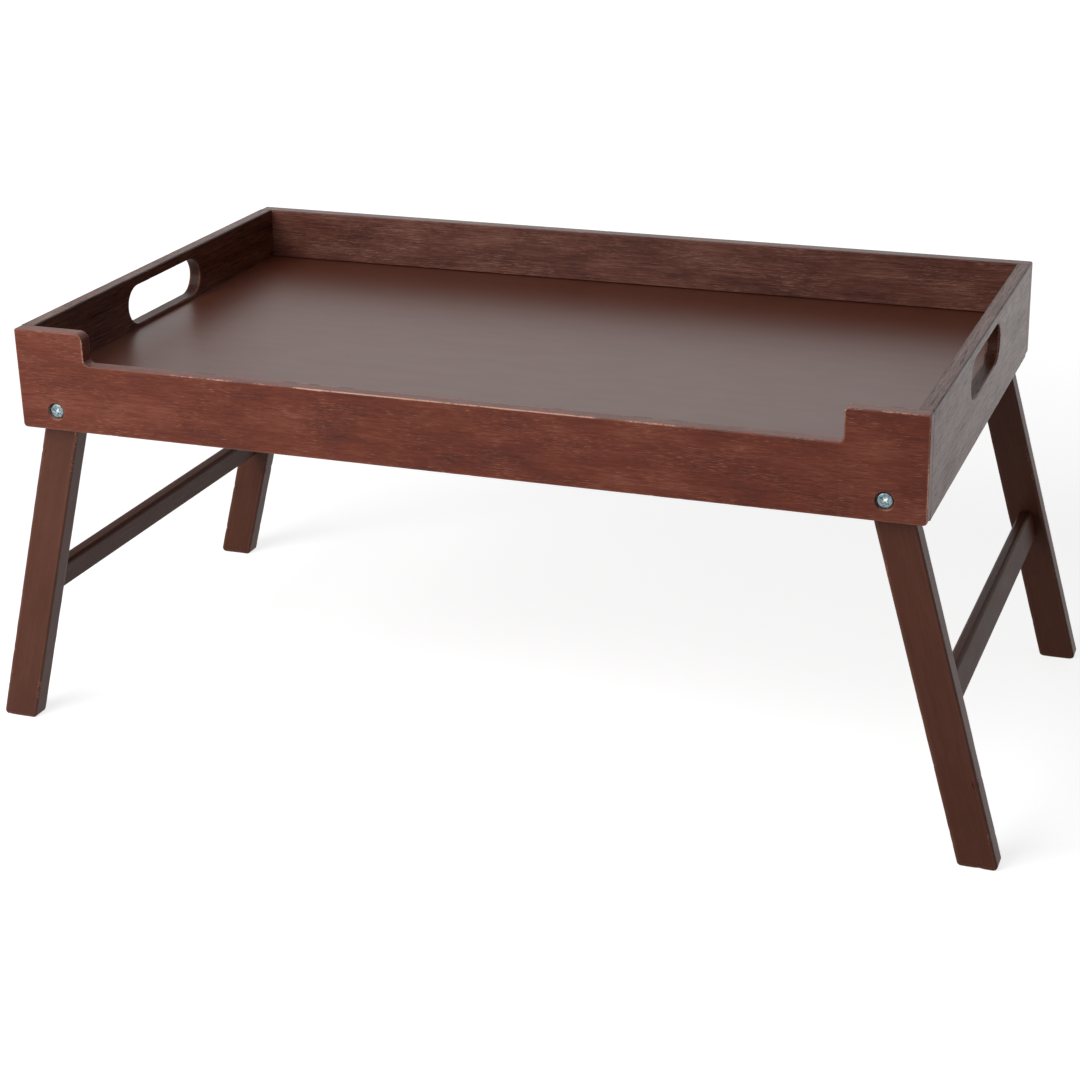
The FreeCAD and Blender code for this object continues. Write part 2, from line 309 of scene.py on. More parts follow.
def counterbore(u: float, v: float, wide: float, wide_depth: float, narrow: float, thickness: float,
                arris: float) -> Opening:
    """Round recess in the front face with a bore from its floor to the back face.

    Args:
        u: Centre.
        v: Centre.
        wide: Diameter of the recess.
        wide_depth: Depth of the recess.
        narrow: Diameter of the bore.
        thickness: The board's thickness.
        arris: Radius of the recess's rim.

    Returns:
        The opening.
    """
    step = (wide - narrow) / 2
    # The recess's wall and floor are painted paler than the wood round them: painted light on the walls of
    # the recess.
    rings = arris_rings(arris, RECESS_MARGIN * arris, RECESS_PAINTED_LIGHT)
    rings += [
        Ring(depth=wide_depth - RECESS_FILLET, soak=RECESS_PAINTED_LIGHT),
        Ring(inset=-RECESS_FILLET * FILLET_BULGE, depth=wide_depth - RECESS_FILLET * FILLET_BULGE,
             soak=RECESS_PAINTED_LIGHT),
        Ring(inset=-RECESS_FILLET, depth=wide_depth, soak=RECESS_PAINTED_LIGHT),
        Ring(inset=-step + BORE_BEVEL, depth=wide_depth, soak=RECESS_FLOOR_PAINTED_LIGHT),
        Ring(inset=-step, depth=wide_depth + BORE_BEVEL),
        Ring(inset=-step, depth=thickness - BORE_BEVEL),
        Ring(inset=-step + BORE_BEVEL, depth=thickness),
    ]
    return Opening(circle(u, v, wide, RECESS_RUB), rings)


def from_the_back(opening: Opening, thickness: float) -> Opening:
    """Opening turned round, so that what was on the front face is on the back face."""
    return Opening(opening.loop, mirrored(opening.rings, thickness), opening.through)


def back_pocket(loop: list[Corner], depth: float, thickness: float) -> Opening:
    """Pocket cut into the back face, with square edges.

    Args:
        loop: Its outline, clockwise.
        depth: How deep it goes.
        thickness: The board's thickness.

    Returns:
        The pocket.
    """
    rings = [Ring(depth=thickness - depth), Ring(depth=thickness - POCKET_BEVEL),
             Ring(inset=POCKET_BEVEL, depth=thickness)]
    return Opening(loop, rings, through=False)


@dataclass
class Board:
    """Flat piece of wood: an outline with a thickness, rounded arrises, holes and pockets.

    Its mesh carries two attributes that the finishes read: grain_place, the place along the grain, across it
    and through the thickness, and edge_state, the wear of its rings with painted highlights, their darkening
    from stain and painted shade and their paling as painted light, and their saw marks.
    """

    name: str
    outline: list[Corner]
    thickness: float
    origin: Vector
    u_axis: Vector
    v_axis: Vector
    seed: int
    front_arris: float
    back_arris: float
    openings: list[Opening] = field(default_factory=list)
    grain: Vector | None = field(default_factory=lambda: Vector((1, 0)))
    spacing: float = 2.2 * MM
    margin: float = 2.0 * MM
    sawn: float = 0.0
    chips: float = 0.0

    def __post_init__(self) -> None:
        """Sets up empty lists for the mesh."""
        self.points: list[Vector] = []
        self.faces: list[tuple[int, ...]] = []
        self.states: list[Vector] = []
        self.grain_places: list[Vector] = []
        self.down = -self.u_axis.cross(self.v_axis)

    def arris_share(self, station: Station) -> float:
        """Share of the arris at a station, a little uneven as on sanded wood, with a few small dents.

        Args:
            station: A station of the outline.

        Returns:
            The share.
        """
        place = Vector((station.place.x, station.place.y, self.seed * RIPPLE_SEED)) / RIPPLE_SIZE
        dent = max(0.0, noise.noise(place * DENT_SCALE + DENT_SHIFT) - DENT_LEVEL) * DENT_GAIN
        return station.share * (1 + RIPPLE_HEIGHT * noise.noise(place) + min(DENT_LIMIT, dent))

    def state_at(self, station: Station, ring: Ring) -> Vector:
        """Wear with painted highlights, darkening from stain and painted shade, paling as painted light, and
        saw marks of a ring at a station, with dark chips in the back arris.

        Args:
            station: The station.
            ring: The ring.

        Returns:
            The three values.
        """
        on_back_arris = ring.wear > 0 and ring.depth > self.thickness / 2
        place = Vector((station.place.x / CHIP_LENGTH, station.place.y / CHIP_HEIGHT, self.seed * CHIP_SEED))
        found = min(1.0, max(0.0, noise.noise(place) - CHIP_LEVEL) * CHIP_GAIN)
        chip = self.chips * found if on_back_arris else 0.0
        soaked = chip - ring.wear * min(0.0, station.rub)
        return Vector((ring.wear * max(0.0, station.rub) * (1 - chip), ring.soak + soaked, ring.sawn))

    def add_point(self, place: Vector, depth: float, state: Vector) -> int:
        """Adds a vertex.

        Args:
            place: Its place in the board's plane.
            depth: Its depth below the front face.
            state: Its wear with painted highlights, its darkening from stain and painted shade, its paling as
                painted light, and its saw marks.

        Returns:
            Its index.
        """
        self.points.append(self.origin + self.u_axis * place.x + self.v_axis * place.y + self.down * depth)
        self.states.append(state)
        if self.grain is None:
            grain_place = Vector((depth, place.x, place.y))
        else:
            grain_place = Vector((place.dot(self.grain), place.dot(right_of(self.grain)), depth))
        self.grain_places.append(grain_place + GRAIN_SHIFT * self.seed)
        return len(self.points) - 1

    def add_wall(self, loop: list[Station], rings: list[Ring]) -> tuple[list[int], list[int]]:
        """Adds the rings of one outline or opening and the faces between them.

        Args:
            loop: The stations.
            rings: The rings, from the front to the back.

        Returns:
            Vertex indices of the first ring and of the last.
        """
        shares = [self.arris_share(station) for station in loop]
        rows = []
        for ring in rings:
            row = []
            for station, share in zip(loop, shares):
                inset = ring.inset + ring.arris_inset * share
                depth = ring.depth + ring.arris_depth * share
                row.append(self.add_point(station.place - station.outward * inset, depth,
                                          self.state_at(station, ring)))
            rows.append(row)
        count = len(loop)
        for shallow, deep in zip(rows, rows[1:]):
            for i in range(count):
                j = (i + 1) % count
                self.faces.append((shallow[i], deep[i], deep[j], shallow[j]))
        return rows[0], rows[-1]

    def add_face(self, loops: list[list[int]], normal: Vector) -> None:
        """Fills the flat between loops.

        Args:
            loops: Vertex indices of the outer loop and of the holes in it.
            normal: The direction that the face looks in.
        """
        flat = [index for loop in loops for index in loop]
        polygons = []
        for loop in loops:
            local = [self.points[index] - self.origin for index in loop]
            polygons.append([Vector((p.dot(self.u_axis), p.dot(self.v_axis), 0)) / MM for p in local])
        for triangle in tessellate_polygon(polygons):
            a, b, c = (flat[corner] for corner in triangle)
            facing = (self.points[b] - self.points[a]).cross(self.points[c] - self.points[a]).dot(normal)
            self.faces.append((a, b, c) if facing > 0 else (a, c, b))

    def build(self) -> bpy.types.Object:
        """Makes the mesh.

        Returns:
            The new object, at the origin, with its place in its mesh.
        """
        front, back = (arris_rings(arris, self.margin, sawn=self.sawn)
                       for arris in (self.front_arris, self.back_arris))
        rings = front + mirrored(back, self.thickness)
        top, bottom = self.add_wall(sampled(self.outline, self.spacing, OUTLINE_ARC_STEP), rings)
        front_loops, back_loops = [top], [bottom]
        for opening in self.openings:
            first, last = self.add_wall(sampled(opening.loop, self.spacing, OPENING_ARC_STEP), opening.rings)
            back_loops.append(last)
            if opening.through:
                front_loops.append(first)
            else:
                self.add_face([first], self.down)
        self.add_face(front_loops, -self.down)
        self.add_face(back_loops, self.down)
        mesh = bpy.data.meshes.new(self.name)
        mesh.from_pydata(self.points, [], self.faces)
        for label, values in (("grain_place", self.grain_places), ("edge_state", self.states)):
            layer = mesh.attributes.new(label, "FLOAT_VECTOR", "POINT")
            layer.data.foreach_set("vector", [number for value in values for number in value])
        mesh.validate()
        return softly_shaded(linked(self.name, mesh))


# ---------------------------------------------------------------- objects

# Least angles that stay hard lines, and how much the large flats weigh in the shading of the arrises.
BOARD_CREASE_DEG, FASTENER_CREASE_DEG, FLAT_WEIGHT = 38.0, 50.0, 90


def linked(name: str, data: bpy.types.ID) -> bpy.types.Object:
    """Makes an object for some data in the scene.

    Args:
        name: The object's name.
        data: A mesh, light or camera.

    Returns:
        The object.
    """
    made = bpy.data.objects.new(name, data)
    bpy.context.scene.collection.objects.link(made)
    return made


def applied(piece: bpy.types.Object) -> bpy.types.Object:
    """Replaces a piece's mesh with what its modifiers make, and removes them.

    Args:
        piece: The piece.

    Returns:
        The same piece.
    """
    depsgraph = bpy.context.evaluated_depsgraph_get()
    mesh = bpy.data.meshes.new_from_object(piece.evaluated_get(depsgraph), preserve_all_data_layers=True,
                                           depsgraph=depsgraph)
    piece.modifiers.clear()
    piece.data = mesh
    mesh.name = piece.name
    return piece


def softly_shaded(piece: bpy.types.Object, crease_deg: float = BOARD_CREASE_DEG) -> bpy.types.Object:
    """Shades a piece smooth with flats that stay flat.

    Args:
        piece: The piece.
        crease_deg: The least angle between faces that stays a hard line.

    Returns:
        The same piece.
    """
    piece.data.shade_smooth()
    piece.data.set_sharp_from_angle(angle=math.radians(crease_deg))
    weighted = piece.modifiers.new("flats", "WEIGHTED_NORMAL")
    weighted.keep_sharp, weighted.weight = True, FLAT_WEIGHT
    return applied(piece)


def dressed(piece: bpy.types.Object, material: bpy.types.Material, body: str,
            nodes: list[str]) -> bpy.types.Object:
    """Gives a piece its finish and its place in the frame.

    Args:
        piece: The piece.
        material: Its finish.
        body: The body it rides on.
        nodes: The nodes it stands for.

    Returns:
        The same piece.
    """
    piece.data.materials.clear()
    piece.data.materials.append(material)
    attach(piece, body)
    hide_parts(*nodes)
    log.info("%s: %d faces on %s", piece.name, len(piece.data.polygons), body)
    return piece


# ---------------------------------------------------------------- node helpers

# How strong a noise's finer octaves are, and how its shift is spread over the three directions.
NOISE_ROUGHNESS, SHIFT_PARTS = 0.55, (1.0, 1.7, 0.6)


@dataclass(frozen=True)
class Grains:
    """A noise by its grains' real sizes along, across and through the wood, its octaves and its shift."""

    along: float
    across: float
    through: float
    detail: float = 2.0
    shift: float = 0.0


class NodeSheet:
    """A node tree with short ways to add and link its nodes."""

    def __init__(self, tree: bpy.types.NodeTree) -> None:
        """Keeps a shader or geometry node tree."""
        self.tree = tree

    def add(self, kind: str, values: dict | None = None, **settings: object) -> bpy.types.Node:
        """Adds a node.

        Args:
            kind: Its type.
            values: Its inputs by name or index: a socket is linked, anything else is set.
            **settings: Its own properties.

        Returns:
            The node.
        """
        node = self.tree.nodes.new(kind)
        for name, value in settings.items():
            setattr(node, name, value)
        for key, value in (values or {}).items():
            self.feed(node.inputs[key], value)
        return node

    def feed(self, socket: bpy.types.NodeSocket, value: object) -> None:
        """Links or sets an input.

        Args:
            socket: The input.
            value: An output socket, or a plain value.
        """
        if isinstance(value, bpy.types.NodeSocket):
            self.tree.links.new(value, socket)
        else:
            socket.default_value = value

    def math(self, operation: str, *values: object, clamp: bool = False) -> bpy.types.NodeSocket:
        """Adds a math node, whose result clamp keeps from 0 to 1."""
        node = self.add("ShaderNodeMath", dict(enumerate(values)), operation=operation, use_clamp=clamp)
        return node.outputs[0]

    def vector(self, operation: str, *values: object) -> bpy.types.Node:
        """Adds a vector math node."""
        return self.add("ShaderNodeVectorMath", dict(enumerate(values)), operation=operation)

    def ramp(self, value: object, low: float, high: float, to_low: float = 0.0,
             to_high: float = 1.0) -> bpy.types.NodeSocket:
        """Maps the range of a value from low to high softly to the one from to_low to to_high."""
        values = {0: value, 1: low, 2: high, 3: to_low, 4: to_high}
        return self.add("ShaderNodeMapRange", values, interpolation_type="SMOOTHSTEP").outputs[0]

    def blend(self, share: object, first: object, second: object) -> bpy.types.NodeSocket:
        """Mixes two colours, where share is how much the second has."""
        return self.add("ShaderNodeMix", {0: share, 6: first, 7: second}, data_type="RGBA").outputs[2]

    def grained(self, place: object, grains: Grains) -> bpy.types.NodeSocket:
        """Adds a noise.

        Args:
            place: Where to read it, in metres.
            grains: Its sizes.

        Returns:
            The noise, from 0 to 1 about 0.5.
        """
        scaled = self.vector("MULTIPLY", place, (1 / grains.along, 1 / grains.across, 1 / grains.through))
        moved = self.vector("ADD", scaled.outputs[0], tuple(grains.shift * part for part in SHIFT_PARTS))
        return self.add("ShaderNodeTexNoise", {
            "Vector": moved.outputs[0], "Scale": 1.0, "Detail": grains.detail, "Roughness": NOISE_ROUGHNESS,
        }).outputs[0]

    def swing(self, value: object, amount: object) -> bpy.types.NodeSocket:
        """Moves a noise to lie about 0 and scales it."""
        return self.math("MULTIPLY", self.math("SUBTRACT", value, 0.5), amount)

    def seen(self) -> bpy.types.NodeSocket:
        """Tells the rays that look from those that light.

        Returns:
            1 where the surface is looked at, mirrored or seen through glass, and 0 where it lights the rest.
        """
        path = self.add("ShaderNodeLightPath").outputs
        looked_at = self.math("ADD", path["Is Camera Ray"], path["Is Glossy Ray"])
        return self.math("ADD", looked_at, path["Is Transmission Ray"], clamp=True)

    def show(self, shader: bpy.types.Node, kind: str = "ShaderNodeOutputMaterial") -> None:
        """Makes a shader what the material or the world shows."""
        self.feed(self.add(kind).inputs["Surface"], shader.outputs[0])


def blank_sheet(owner: bpy.types.Material | bpy.types.World) -> NodeSheet:
    """Gives a material or a world an empty node tree.

    Args:
        owner: The material or the world.

    Returns:
        The sheet for its tree.
    """
    owner.use_nodes = True
    owner.node_tree.nodes.clear()
    return NodeSheet(owner.node_tree)


def shader_group(name: str, inputs: dict[str, tuple[str, ...]], outputs: dict[str, tuple[str, ...]]) -> tuple[
        NodeSheet, bpy.types.bpy_prop_collection, bpy.types.bpy_prop_collection]:
    """Starts a shader node group.

    Args:
        name: Its name.
        inputs: Names of its inputs by kind, where the kind is Float, Color or Vector.
        outputs: Names of its outputs by kind.

    Returns:
        The sheet, the sockets that it is given and the sockets of its result.
    """
    tree = bpy.data.node_groups.new(name, "ShaderNodeTree")
    for way, sockets in (("INPUT", inputs), ("OUTPUT", outputs)):
        for kind, labels in sockets.items():
            for label in labels:
                tree.interface.new_socket(label, in_out=way, socket_type="NodeSocket" + kind)
    sheet = NodeSheet(tree)
    return sheet, sheet.add("NodeGroupInput").outputs, sheet.add("NodeGroupOutput").inputs


def rgba(colour: tuple[float, float, float]) -> tuple[float, float, float, float]:
    """Linear colour with full alpha."""
    return (*colour, 1.0)


# ---------------------------------------------------------------- finishes

# How the lacquer's gloss varies on wood, and how much duller it is where it is rubbed or soaked.
SHEEN_GRAINS, SHEEN_RANGE = Grains(30 * MM, 9 * MM, 9 * MM, 3.0, 21.1), (0.3, 0.7)
RUBBED_DULLER, SOAKED_RANGE, SOAKED_DULLER = 0.15, (0.8, 1.0), 0.5

# How plate varies in tint and gloss, and the fine scratches on it.
MOTTLE_GRAINS = Grains(1.6 * MM, 1.6 * MM, 1.6 * MM, 3.0)
SCRATCH_GRAINS = Grains(3 * MM, 0.12 * MM, 0.4 * MM, 2.0, 5.5)
TINT_RANGE, GLOSS_RANGE, GLOSS_SPREAD = (0.3, 0.7), (0.25, 0.75), (0.8, 1.25)
SCRATCH_STRENGTH, SCRATCH_DEPTH = 0.4, 0.02 * MM


@dataclass(frozen=True)
class StainedGrain:
    """Shader group for stained wood: fibres, streaks, clouds, dark pores, pale flecks and saw marks.

    Pores and flecks are where their noise passes a level, which patches of the wood raise and lower. The film
    is the lacquer's: missing on pores and soaked stain, and uneven with the tone. The shading value also
    carries painted shade in hand holes, which darkens the colour, and painted light on recess walls, which
    pales it.
    """

    fibre: Grains = Grains(8.0 * MM, 0.3 * MM, 0.3 * MM, 3.0)
    streak: Grains = Grains(45 * MM, 1.4 * MM, 1.4 * MM, 2.0, 4.1)
    cloud: Grains = Grains(42 * MM, 15 * MM, 15 * MM, 3.0, 9.7)
    patch: Grains = Grains(34 * MM, 13 * MM, 13 * MM, 2.0, 17.3)
    fleck: Grains = Grains(5.5 * MM, 0.28 * MM, 0.28 * MM, 1.0, 12.9)
    pore: Grains = Grains(14 * MM, 0.38 * MM, 0.38 * MM, 1.0, 6.3)
    saw: Grains = Grains(0.7 * MM, 30 * MM, 7 * MM, 2.0, 31.7)
    saw_strength: float = 1.3
    darkening: float = -1.9
    paling: float = 1.0
    patch_range: tuple[float, float] = (0.35, 0.65)
    pore_levels: tuple[float, float] = (0.66, 0.58)
    pore_softness: float = 0.06
    fleck_levels: tuple[float, float] = (0.68, 0.57)
    fleck_softness: float = 0.09
    # How far painted light on a recess's walls blends toward its colour.
    bareness: float = 0.8
    fibre_height: float = 0.5
    film_lost_soaked: float = 0.7
    film_lost_in_pores: float = 0.85
    film_unevenness: float = 0.75

    def build(self) -> bpy.types.NodeTree:
        """Makes the group.

        Returns:
            The group.
        """
        sheet, given, result = shader_group("stained grain", {
            "Vector": ("Place",), "Color": ("Dark", "Middle", "Pale", "Raw"),
            "Float": ("Sawn", "Soak", "Fibres", "Streaks", "Clouds", "Pores", "Pore Size", "Flecks"),
        }, {"Color": ("Colour",), "Float": ("Height", "Film")})
        place, soak = given["Place"], given["Soak"]
        fibre = sheet.grained(place, self.fibre)
        saw_amount = sheet.math("MULTIPLY", given["Sawn"], self.saw_strength)
        saw = sheet.swing(sheet.grained(place, self.saw), saw_amount)
        tone = sheet.swing(fibre, given["Fibres"])
        for grains, amount in ((self.streak, "Streaks"), (self.cloud, "Clouds")):
            tone = sheet.math("ADD", tone, sheet.swing(sheet.grained(place, grains), given[amount]))
        tone = sheet.math("ADD", tone, saw)
        darker = sheet.math("MULTIPLY", tone, self.darkening, clamp=True)
        paler = sheet.math("MULTIPLY", tone, self.paling, clamp=True)
        colour = sheet.blend(darker, given["Middle"], given["Dark"])
        colour = sheet.blend(paler, colour, given["Pale"])
        patch = sheet.grained(place, self.patch)
        shrink = sheet.math("DIVIDE", 1.0, given["Pore Size"])
        shrunk = sheet.add("ShaderNodeVectorMath", {0: place, 3: shrink}, operation="SCALE").outputs[0]
        masks = {}
        for found, levels, softness, amount, tint in (
            (sheet.grained(shrunk, self.pore), self.pore_levels, self.pore_softness, "Pores", "Dark"),
            (sheet.grained(place, self.fleck), self.fleck_levels, self.fleck_softness, "Flecks", "Pale"),
        ):
            over = sheet.math("SUBTRACT", found, sheet.ramp(patch, *self.patch_range, *levels))
            masks[amount] = sheet.math("MULTIPLY", sheet.ramp(over, 0.0, softness), given[amount])
            colour = sheet.blend(masks[amount], colour, given[tint])
        # Painted shade and painted light: above 0 the shading value darkens the colour toward Dark, from
        # stain that soaked in, chips and, in a hand hole, painted shade; below 0 it pales the colour toward
        # the painted-light colour on a recess's walls.
        soaked = sheet.math("MAXIMUM", soak, 0.0)
        painted_light_share = sheet.math("MAXIMUM", sheet.math("MULTIPLY", soak, -self.bareness), 0.0)
        colour = sheet.blend(soaked, colour, given["Dark"])
        sheet.feed(result["Colour"], sheet.blend(painted_light_share, colour, given["Raw"]))
        height = sheet.math("SUBTRACT", sheet.math("MULTIPLY", fibre, self.fibre_height), masks["Pores"])
        sheet.feed(result["Height"], sheet.math("ADD", height, saw))
        lost = sheet.math("MULTIPLY", masks["Pores"], self.film_lost_in_pores)
        lost = sheet.math("MULTIPLY_ADD", soaked, self.film_lost_soaked, lost)
        covered = sheet.math("SUBTRACT", 1.0, sheet.math("MINIMUM", lost, 1.0))
        uneven = sheet.math("MULTIPLY_ADD", tone, self.film_unevenness, 1.0)
        sheet.feed(result["Film"], sheet.math("MULTIPLY", covered, uneven))
        return sheet.tree


@dataclass(frozen=True)
class WornArris:
    """Shader group for arrises rubbed through the stain, partly a painted highlight: a pale line where the
    arris is rubbed fully, specks elsewhere.
    """

    patch: Grains = Grains(24 * MM, 24 * MM, 24 * MM, 2.0, 3.3)
    fine: Grains = Grains(1.8 * MM, 0.8 * MM, 0.8 * MM, 2.0, 8.8)
    patch_share: float = 0.6
    fine_share: float = 0.4
    level: float = 0.76
    rub_gain: float = 0.46
    softness: float = 0.16
    edge_range: tuple[float, float] = (0.1, 0.5)
    line_strength: float = 0.22

    def build(self) -> bpy.types.NodeTree:
        """Makes the group.

        Returns:
            The group.
        """
        sheet, given, result = shader_group("worn arris", {"Vector": ("Place",), "Float": ("Edge", "Amount")},
                                            {"Float": ("Mask",)})
        patch, fine = (sheet.grained(given["Place"], grains) for grains in (self.patch, self.fine))
        rubbed = sheet.math("ADD", sheet.math("MULTIPLY", patch, self.patch_share),
                            sheet.math("MULTIPLY", fine, self.fine_share))
        rub = sheet.math("MULTIPLY", given["Edge"], given["Amount"])
        over = sheet.math("ADD", sheet.math("SUBTRACT", rubbed, self.level),
                          sheet.math("MULTIPLY", rub, self.rub_gain))
        mask = sheet.math("MULTIPLY", sheet.ramp(over, 0.0, self.softness),
                          sheet.ramp(given["Edge"], *self.edge_range))
        line = sheet.math("MULTIPLY", rub, self.line_strength)
        sheet.feed(result["Mask"], sheet.math("MAXIMUM", mask, line))
        return sheet.tree


@dataclass(frozen=True)
class WoodFinish:
    """Stained and lacquered wood."""

    name: str
    dark: tuple[float, float, float]
    middle: tuple[float, float, float]
    pale: tuple[float, float, float]
    # Colour of rubbed arrises, there partly a painted highlight, and of screw recesses' walls, there painted
    # light.
    worn: tuple[float, float, float]
    fibres: float
    streaks: float
    clouds: float
    pores: float
    pore_size: float
    flecks: float
    wear: float
    roughness: float
    roughness_spread: float
    grain_depth: float
    specular: float
    film: float = 0.0
    film_ior: float = 1.36

    def build(self, grain: bpy.types.NodeTree, arris: bpy.types.NodeTree) -> bpy.types.Material:
        """Makes the material.

        Args:
            grain: The stained grain group.
            arris: The worn arris group.

        Returns:
            The material.
        """
        material = bpy.data.materials.new(self.name)
        sheet = blank_sheet(material)
        place, state = (sheet.add("ShaderNodeAttribute", attribute_name=label).outputs["Vector"]
                        for label in ("grain_place", "edge_state"))
        edge, soak, sawn = sheet.add("ShaderNodeSeparateXYZ", {0: state}).outputs
        wood = sheet.add("ShaderNodeGroup", {
            "Place": place, "Sawn": sawn, "Soak": soak, "Dark": rgba(self.dark), "Middle": rgba(self.middle),
            "Pale": rgba(self.pale), "Raw": rgba(self.worn), "Fibres": self.fibres, "Streaks": self.streaks,
            "Clouds": self.clouds, "Pores": self.pores, "Pore Size": self.pore_size, "Flecks": self.flecks,
        }, node_tree=grain).outputs
        # Pale arris lines: stain rubbed through, and on the front rail also a painted highlight.
        rubbed = sheet.add("ShaderNodeGroup", {"Place": place, "Edge": edge, "Amount": self.wear},
                           node_tree=arris).outputs["Mask"]
        roughness = sheet.ramp(sheet.grained(place, SHEEN_GRAINS), *SHEEN_RANGE,
                               self.roughness - self.roughness_spread, self.roughness + self.roughness_spread)
        roughness = sheet.math("ADD", roughness, sheet.math("MULTIPLY", rubbed, RUBBED_DULLER))
        roughness = sheet.math("ADD", roughness, sheet.ramp(soak, *SOAKED_RANGE, 0.0, SOAKED_DULLER))
        bump = sheet.add("ShaderNodeBump", {"Height": wood["Height"], "Strength": 1.0,
                                            "Distance": self.grain_depth})
        shader = sheet.add("ShaderNodeBsdfPrincipled", {
            "Base Color": sheet.blend(rubbed, wood["Colour"], rgba(self.worn)), "Roughness": roughness,
            "Normal": bump.outputs[0], "Specular IOR Level": self.specular, "Coat IOR": self.film_ior,
            "Coat Roughness": self.roughness,
        })
        if self.film > 0:
            sheet.feed(shader.inputs["Coat Weight"], sheet.math("MULTIPLY", wood["Film"], self.film))
        sheet.show(shader)
        return material


@dataclass(frozen=True)
class PlatedFinish:
    """Zinc-plated steel, or plain nylon where it isn't metallic."""

    name: str
    colour: tuple[float, float, float]
    tint: tuple[float, float, float]
    # Painted light: the colour painted into a screw's cross recess, strongest at its bottom.
    bright: tuple[float, float, float]
    metallic: float
    roughness: float

    def build(self) -> bpy.types.Material:
        """Makes the material.

        Returns:
            The material.
        """
        material = bpy.data.materials.new(self.name)
        sheet = blank_sheet(material)
        place = sheet.add("ShaderNodeTexCoord").outputs["Object"]
        # Painted light in the cross recess: its walls blend toward the pale colour, most where they lie
        # deepest.
        drive = sheet.add("ShaderNodeAttribute", attribute_name="drive").outputs["Fac"]
        mottle = sheet.grained(place, MOTTLE_GRAINS)
        colour = sheet.blend(sheet.ramp(mottle, *TINT_RANGE), rgba(self.colour), rgba(self.tint))
        bump = sheet.add("ShaderNodeBump", {"Height": sheet.grained(place, SCRATCH_GRAINS),
                                            "Strength": SCRATCH_STRENGTH, "Distance": SCRATCH_DEPTH})
        sheet.show(sheet.add("ShaderNodeBsdfPrincipled", {
            "Base Color": sheet.blend(drive, colour, rgba(self.bright)), "Metallic": self.metallic,
            "Roughness": sheet.ramp(mottle, *GLOSS_RANGE, *(self.roughness * part for part in GLOSS_SPREAD)),
            "Normal": bump.outputs[0],
        }))
        return material


RAIL_FINISH = WoodFinish(
    "rail wood", dark=(0.026, 0.005, 0.003), middle=(0.142, 0.026, 0.011), pale=(0.37, 0.14, 0.09),
    worn=(0.66, 0.36, 0.27), fibres=1.05, streaks=0.4, clouds=1.05, pores=0.35, pore_size=0.8, flecks=0.55,
    wear=1.0, roughness=0.36, roughness_spread=0.02, grain_depth=0.03 * MM, specular=0.20)
# The back rail's greyer tone is partly its own and partly painted sheen.
BACK_RAIL_SHEEN_FINISH = replace(
    RAIL_FINISH, name="back rail wood", middle=(0.128, 0.043, 0.030), pale=(0.38, 0.20, 0.15), fibres=1.2,
    streaks=0.85)
END_RAIL_FINISH = replace(
    RAIL_FINISH, name="end rail wood", dark=(0.012, 0.003, 0.002), middle=(0.124, 0.034, 0.018),
    pale=(0.30, 0.15, 0.10), fibres=1.8, streaks=0.8, pores=1.0, pore_size=1.5, flecks=0.2, specular=0.05,
    film=0.38)
PANEL_FINISH = WoodFinish(
    "panel wood", dark=(0.025, 0.007, 0.004), middle=(0.096, 0.024, 0.010), pale=(0.13, 0.045, 0.022),
    worn=(0.30, 0.12, 0.07), fibres=0.12, streaks=0.18, clouds=0.2, pores=0.0, pore_size=1.0, flecks=0.0,
    wear=0.1, roughness=0.36, roughness_spread=0.01, grain_depth=0.002 * MM, specular=0.39)
LEG_FINISH = WoodFinish(
    "leg wood", dark=(0.026, 0.007, 0.004), middle=(0.096, 0.030, 0.017), pale=(0.22, 0.10, 0.07),
    worn=(0.32, 0.15, 0.10), fibres=0.25, streaks=0.22, clouds=0.4, pores=0.15, pore_size=1.0, flecks=0.08,
    wear=0.45, roughness=0.39, roughness_spread=0.02, grain_depth=0.012 * MM, specular=0.15)
# The stretchers' darker copy of the leg wood is painted shade for their place under the tray.
STRETCHER_SHADE_FINISH = replace(
    LEG_FINISH, name="stretcher wood", dark=(0.020, 0.006, 0.004), middle=(0.080, 0.026, 0.015), fibres=0.5,
    streaks=0.4, flecks=0.2, roughness=0.41, specular=0.06)
# The zinc's near-white third colour is painted light in the cross recesses.
ZINC_FINISH = PlatedFinish(
    "zinc plate", colour=(0.07, 0.12, 0.14), tint=(0.25, 0.32, 0.34), bright=(0.92, 0.94, 0.94), metallic=1.0,
    roughness=0.27)
NYLON_FINISH = PlatedFinish(
    "nylon", colour=(0.72, 0.71, 0.67), tint=(0.78, 0.77, 0.73), bright=(0.78, 0.77, 0.73), metallic=0.0,
    roughness=0.45)


@dataclass
class Finishes:
    """All the finishes, built once. End rails have a tone of their own, the back rail's greyer tone is partly
    its own and partly painted sheen, and the stretchers' darker tone is painted shade.
    """

    by_slot: dict[Slot, bpy.types.Material] = field(default_factory=dict)
    back_rail: bpy.types.Material | None = None
    end_rail: bpy.types.Material | None = None
    stretcher: bpy.types.Material | None = None

    def build(self) -> "Finishes":
        """Builds the shader groups and the materials.

        Returns:
            Itself.
        """
        grain, arris = StainedGrain().build(), WornArris().build()
        for slot, finish in ((Slot.RAIL, RAIL_FINISH), (Slot.PANEL, PANEL_FINISH), (Slot.LEG, LEG_FINISH)):
            self.by_slot[slot] = finish.build(grain, arris)
        self.back_rail = BACK_RAIL_SHEEN_FINISH.build(grain, arris)
        self.end_rail = END_RAIL_FINISH.build(grain, arris)
        self.stretcher = STRETCHER_SHADE_FINISH.build(grain, arris)
        for slot, finish in ((Slot.ZINC, ZINC_FINISH), (Slot.NYLON, NYLON_FINISH)):
            self.by_slot[slot] = finish.build()
        return self


# ---------------------------------------------------------------- the table


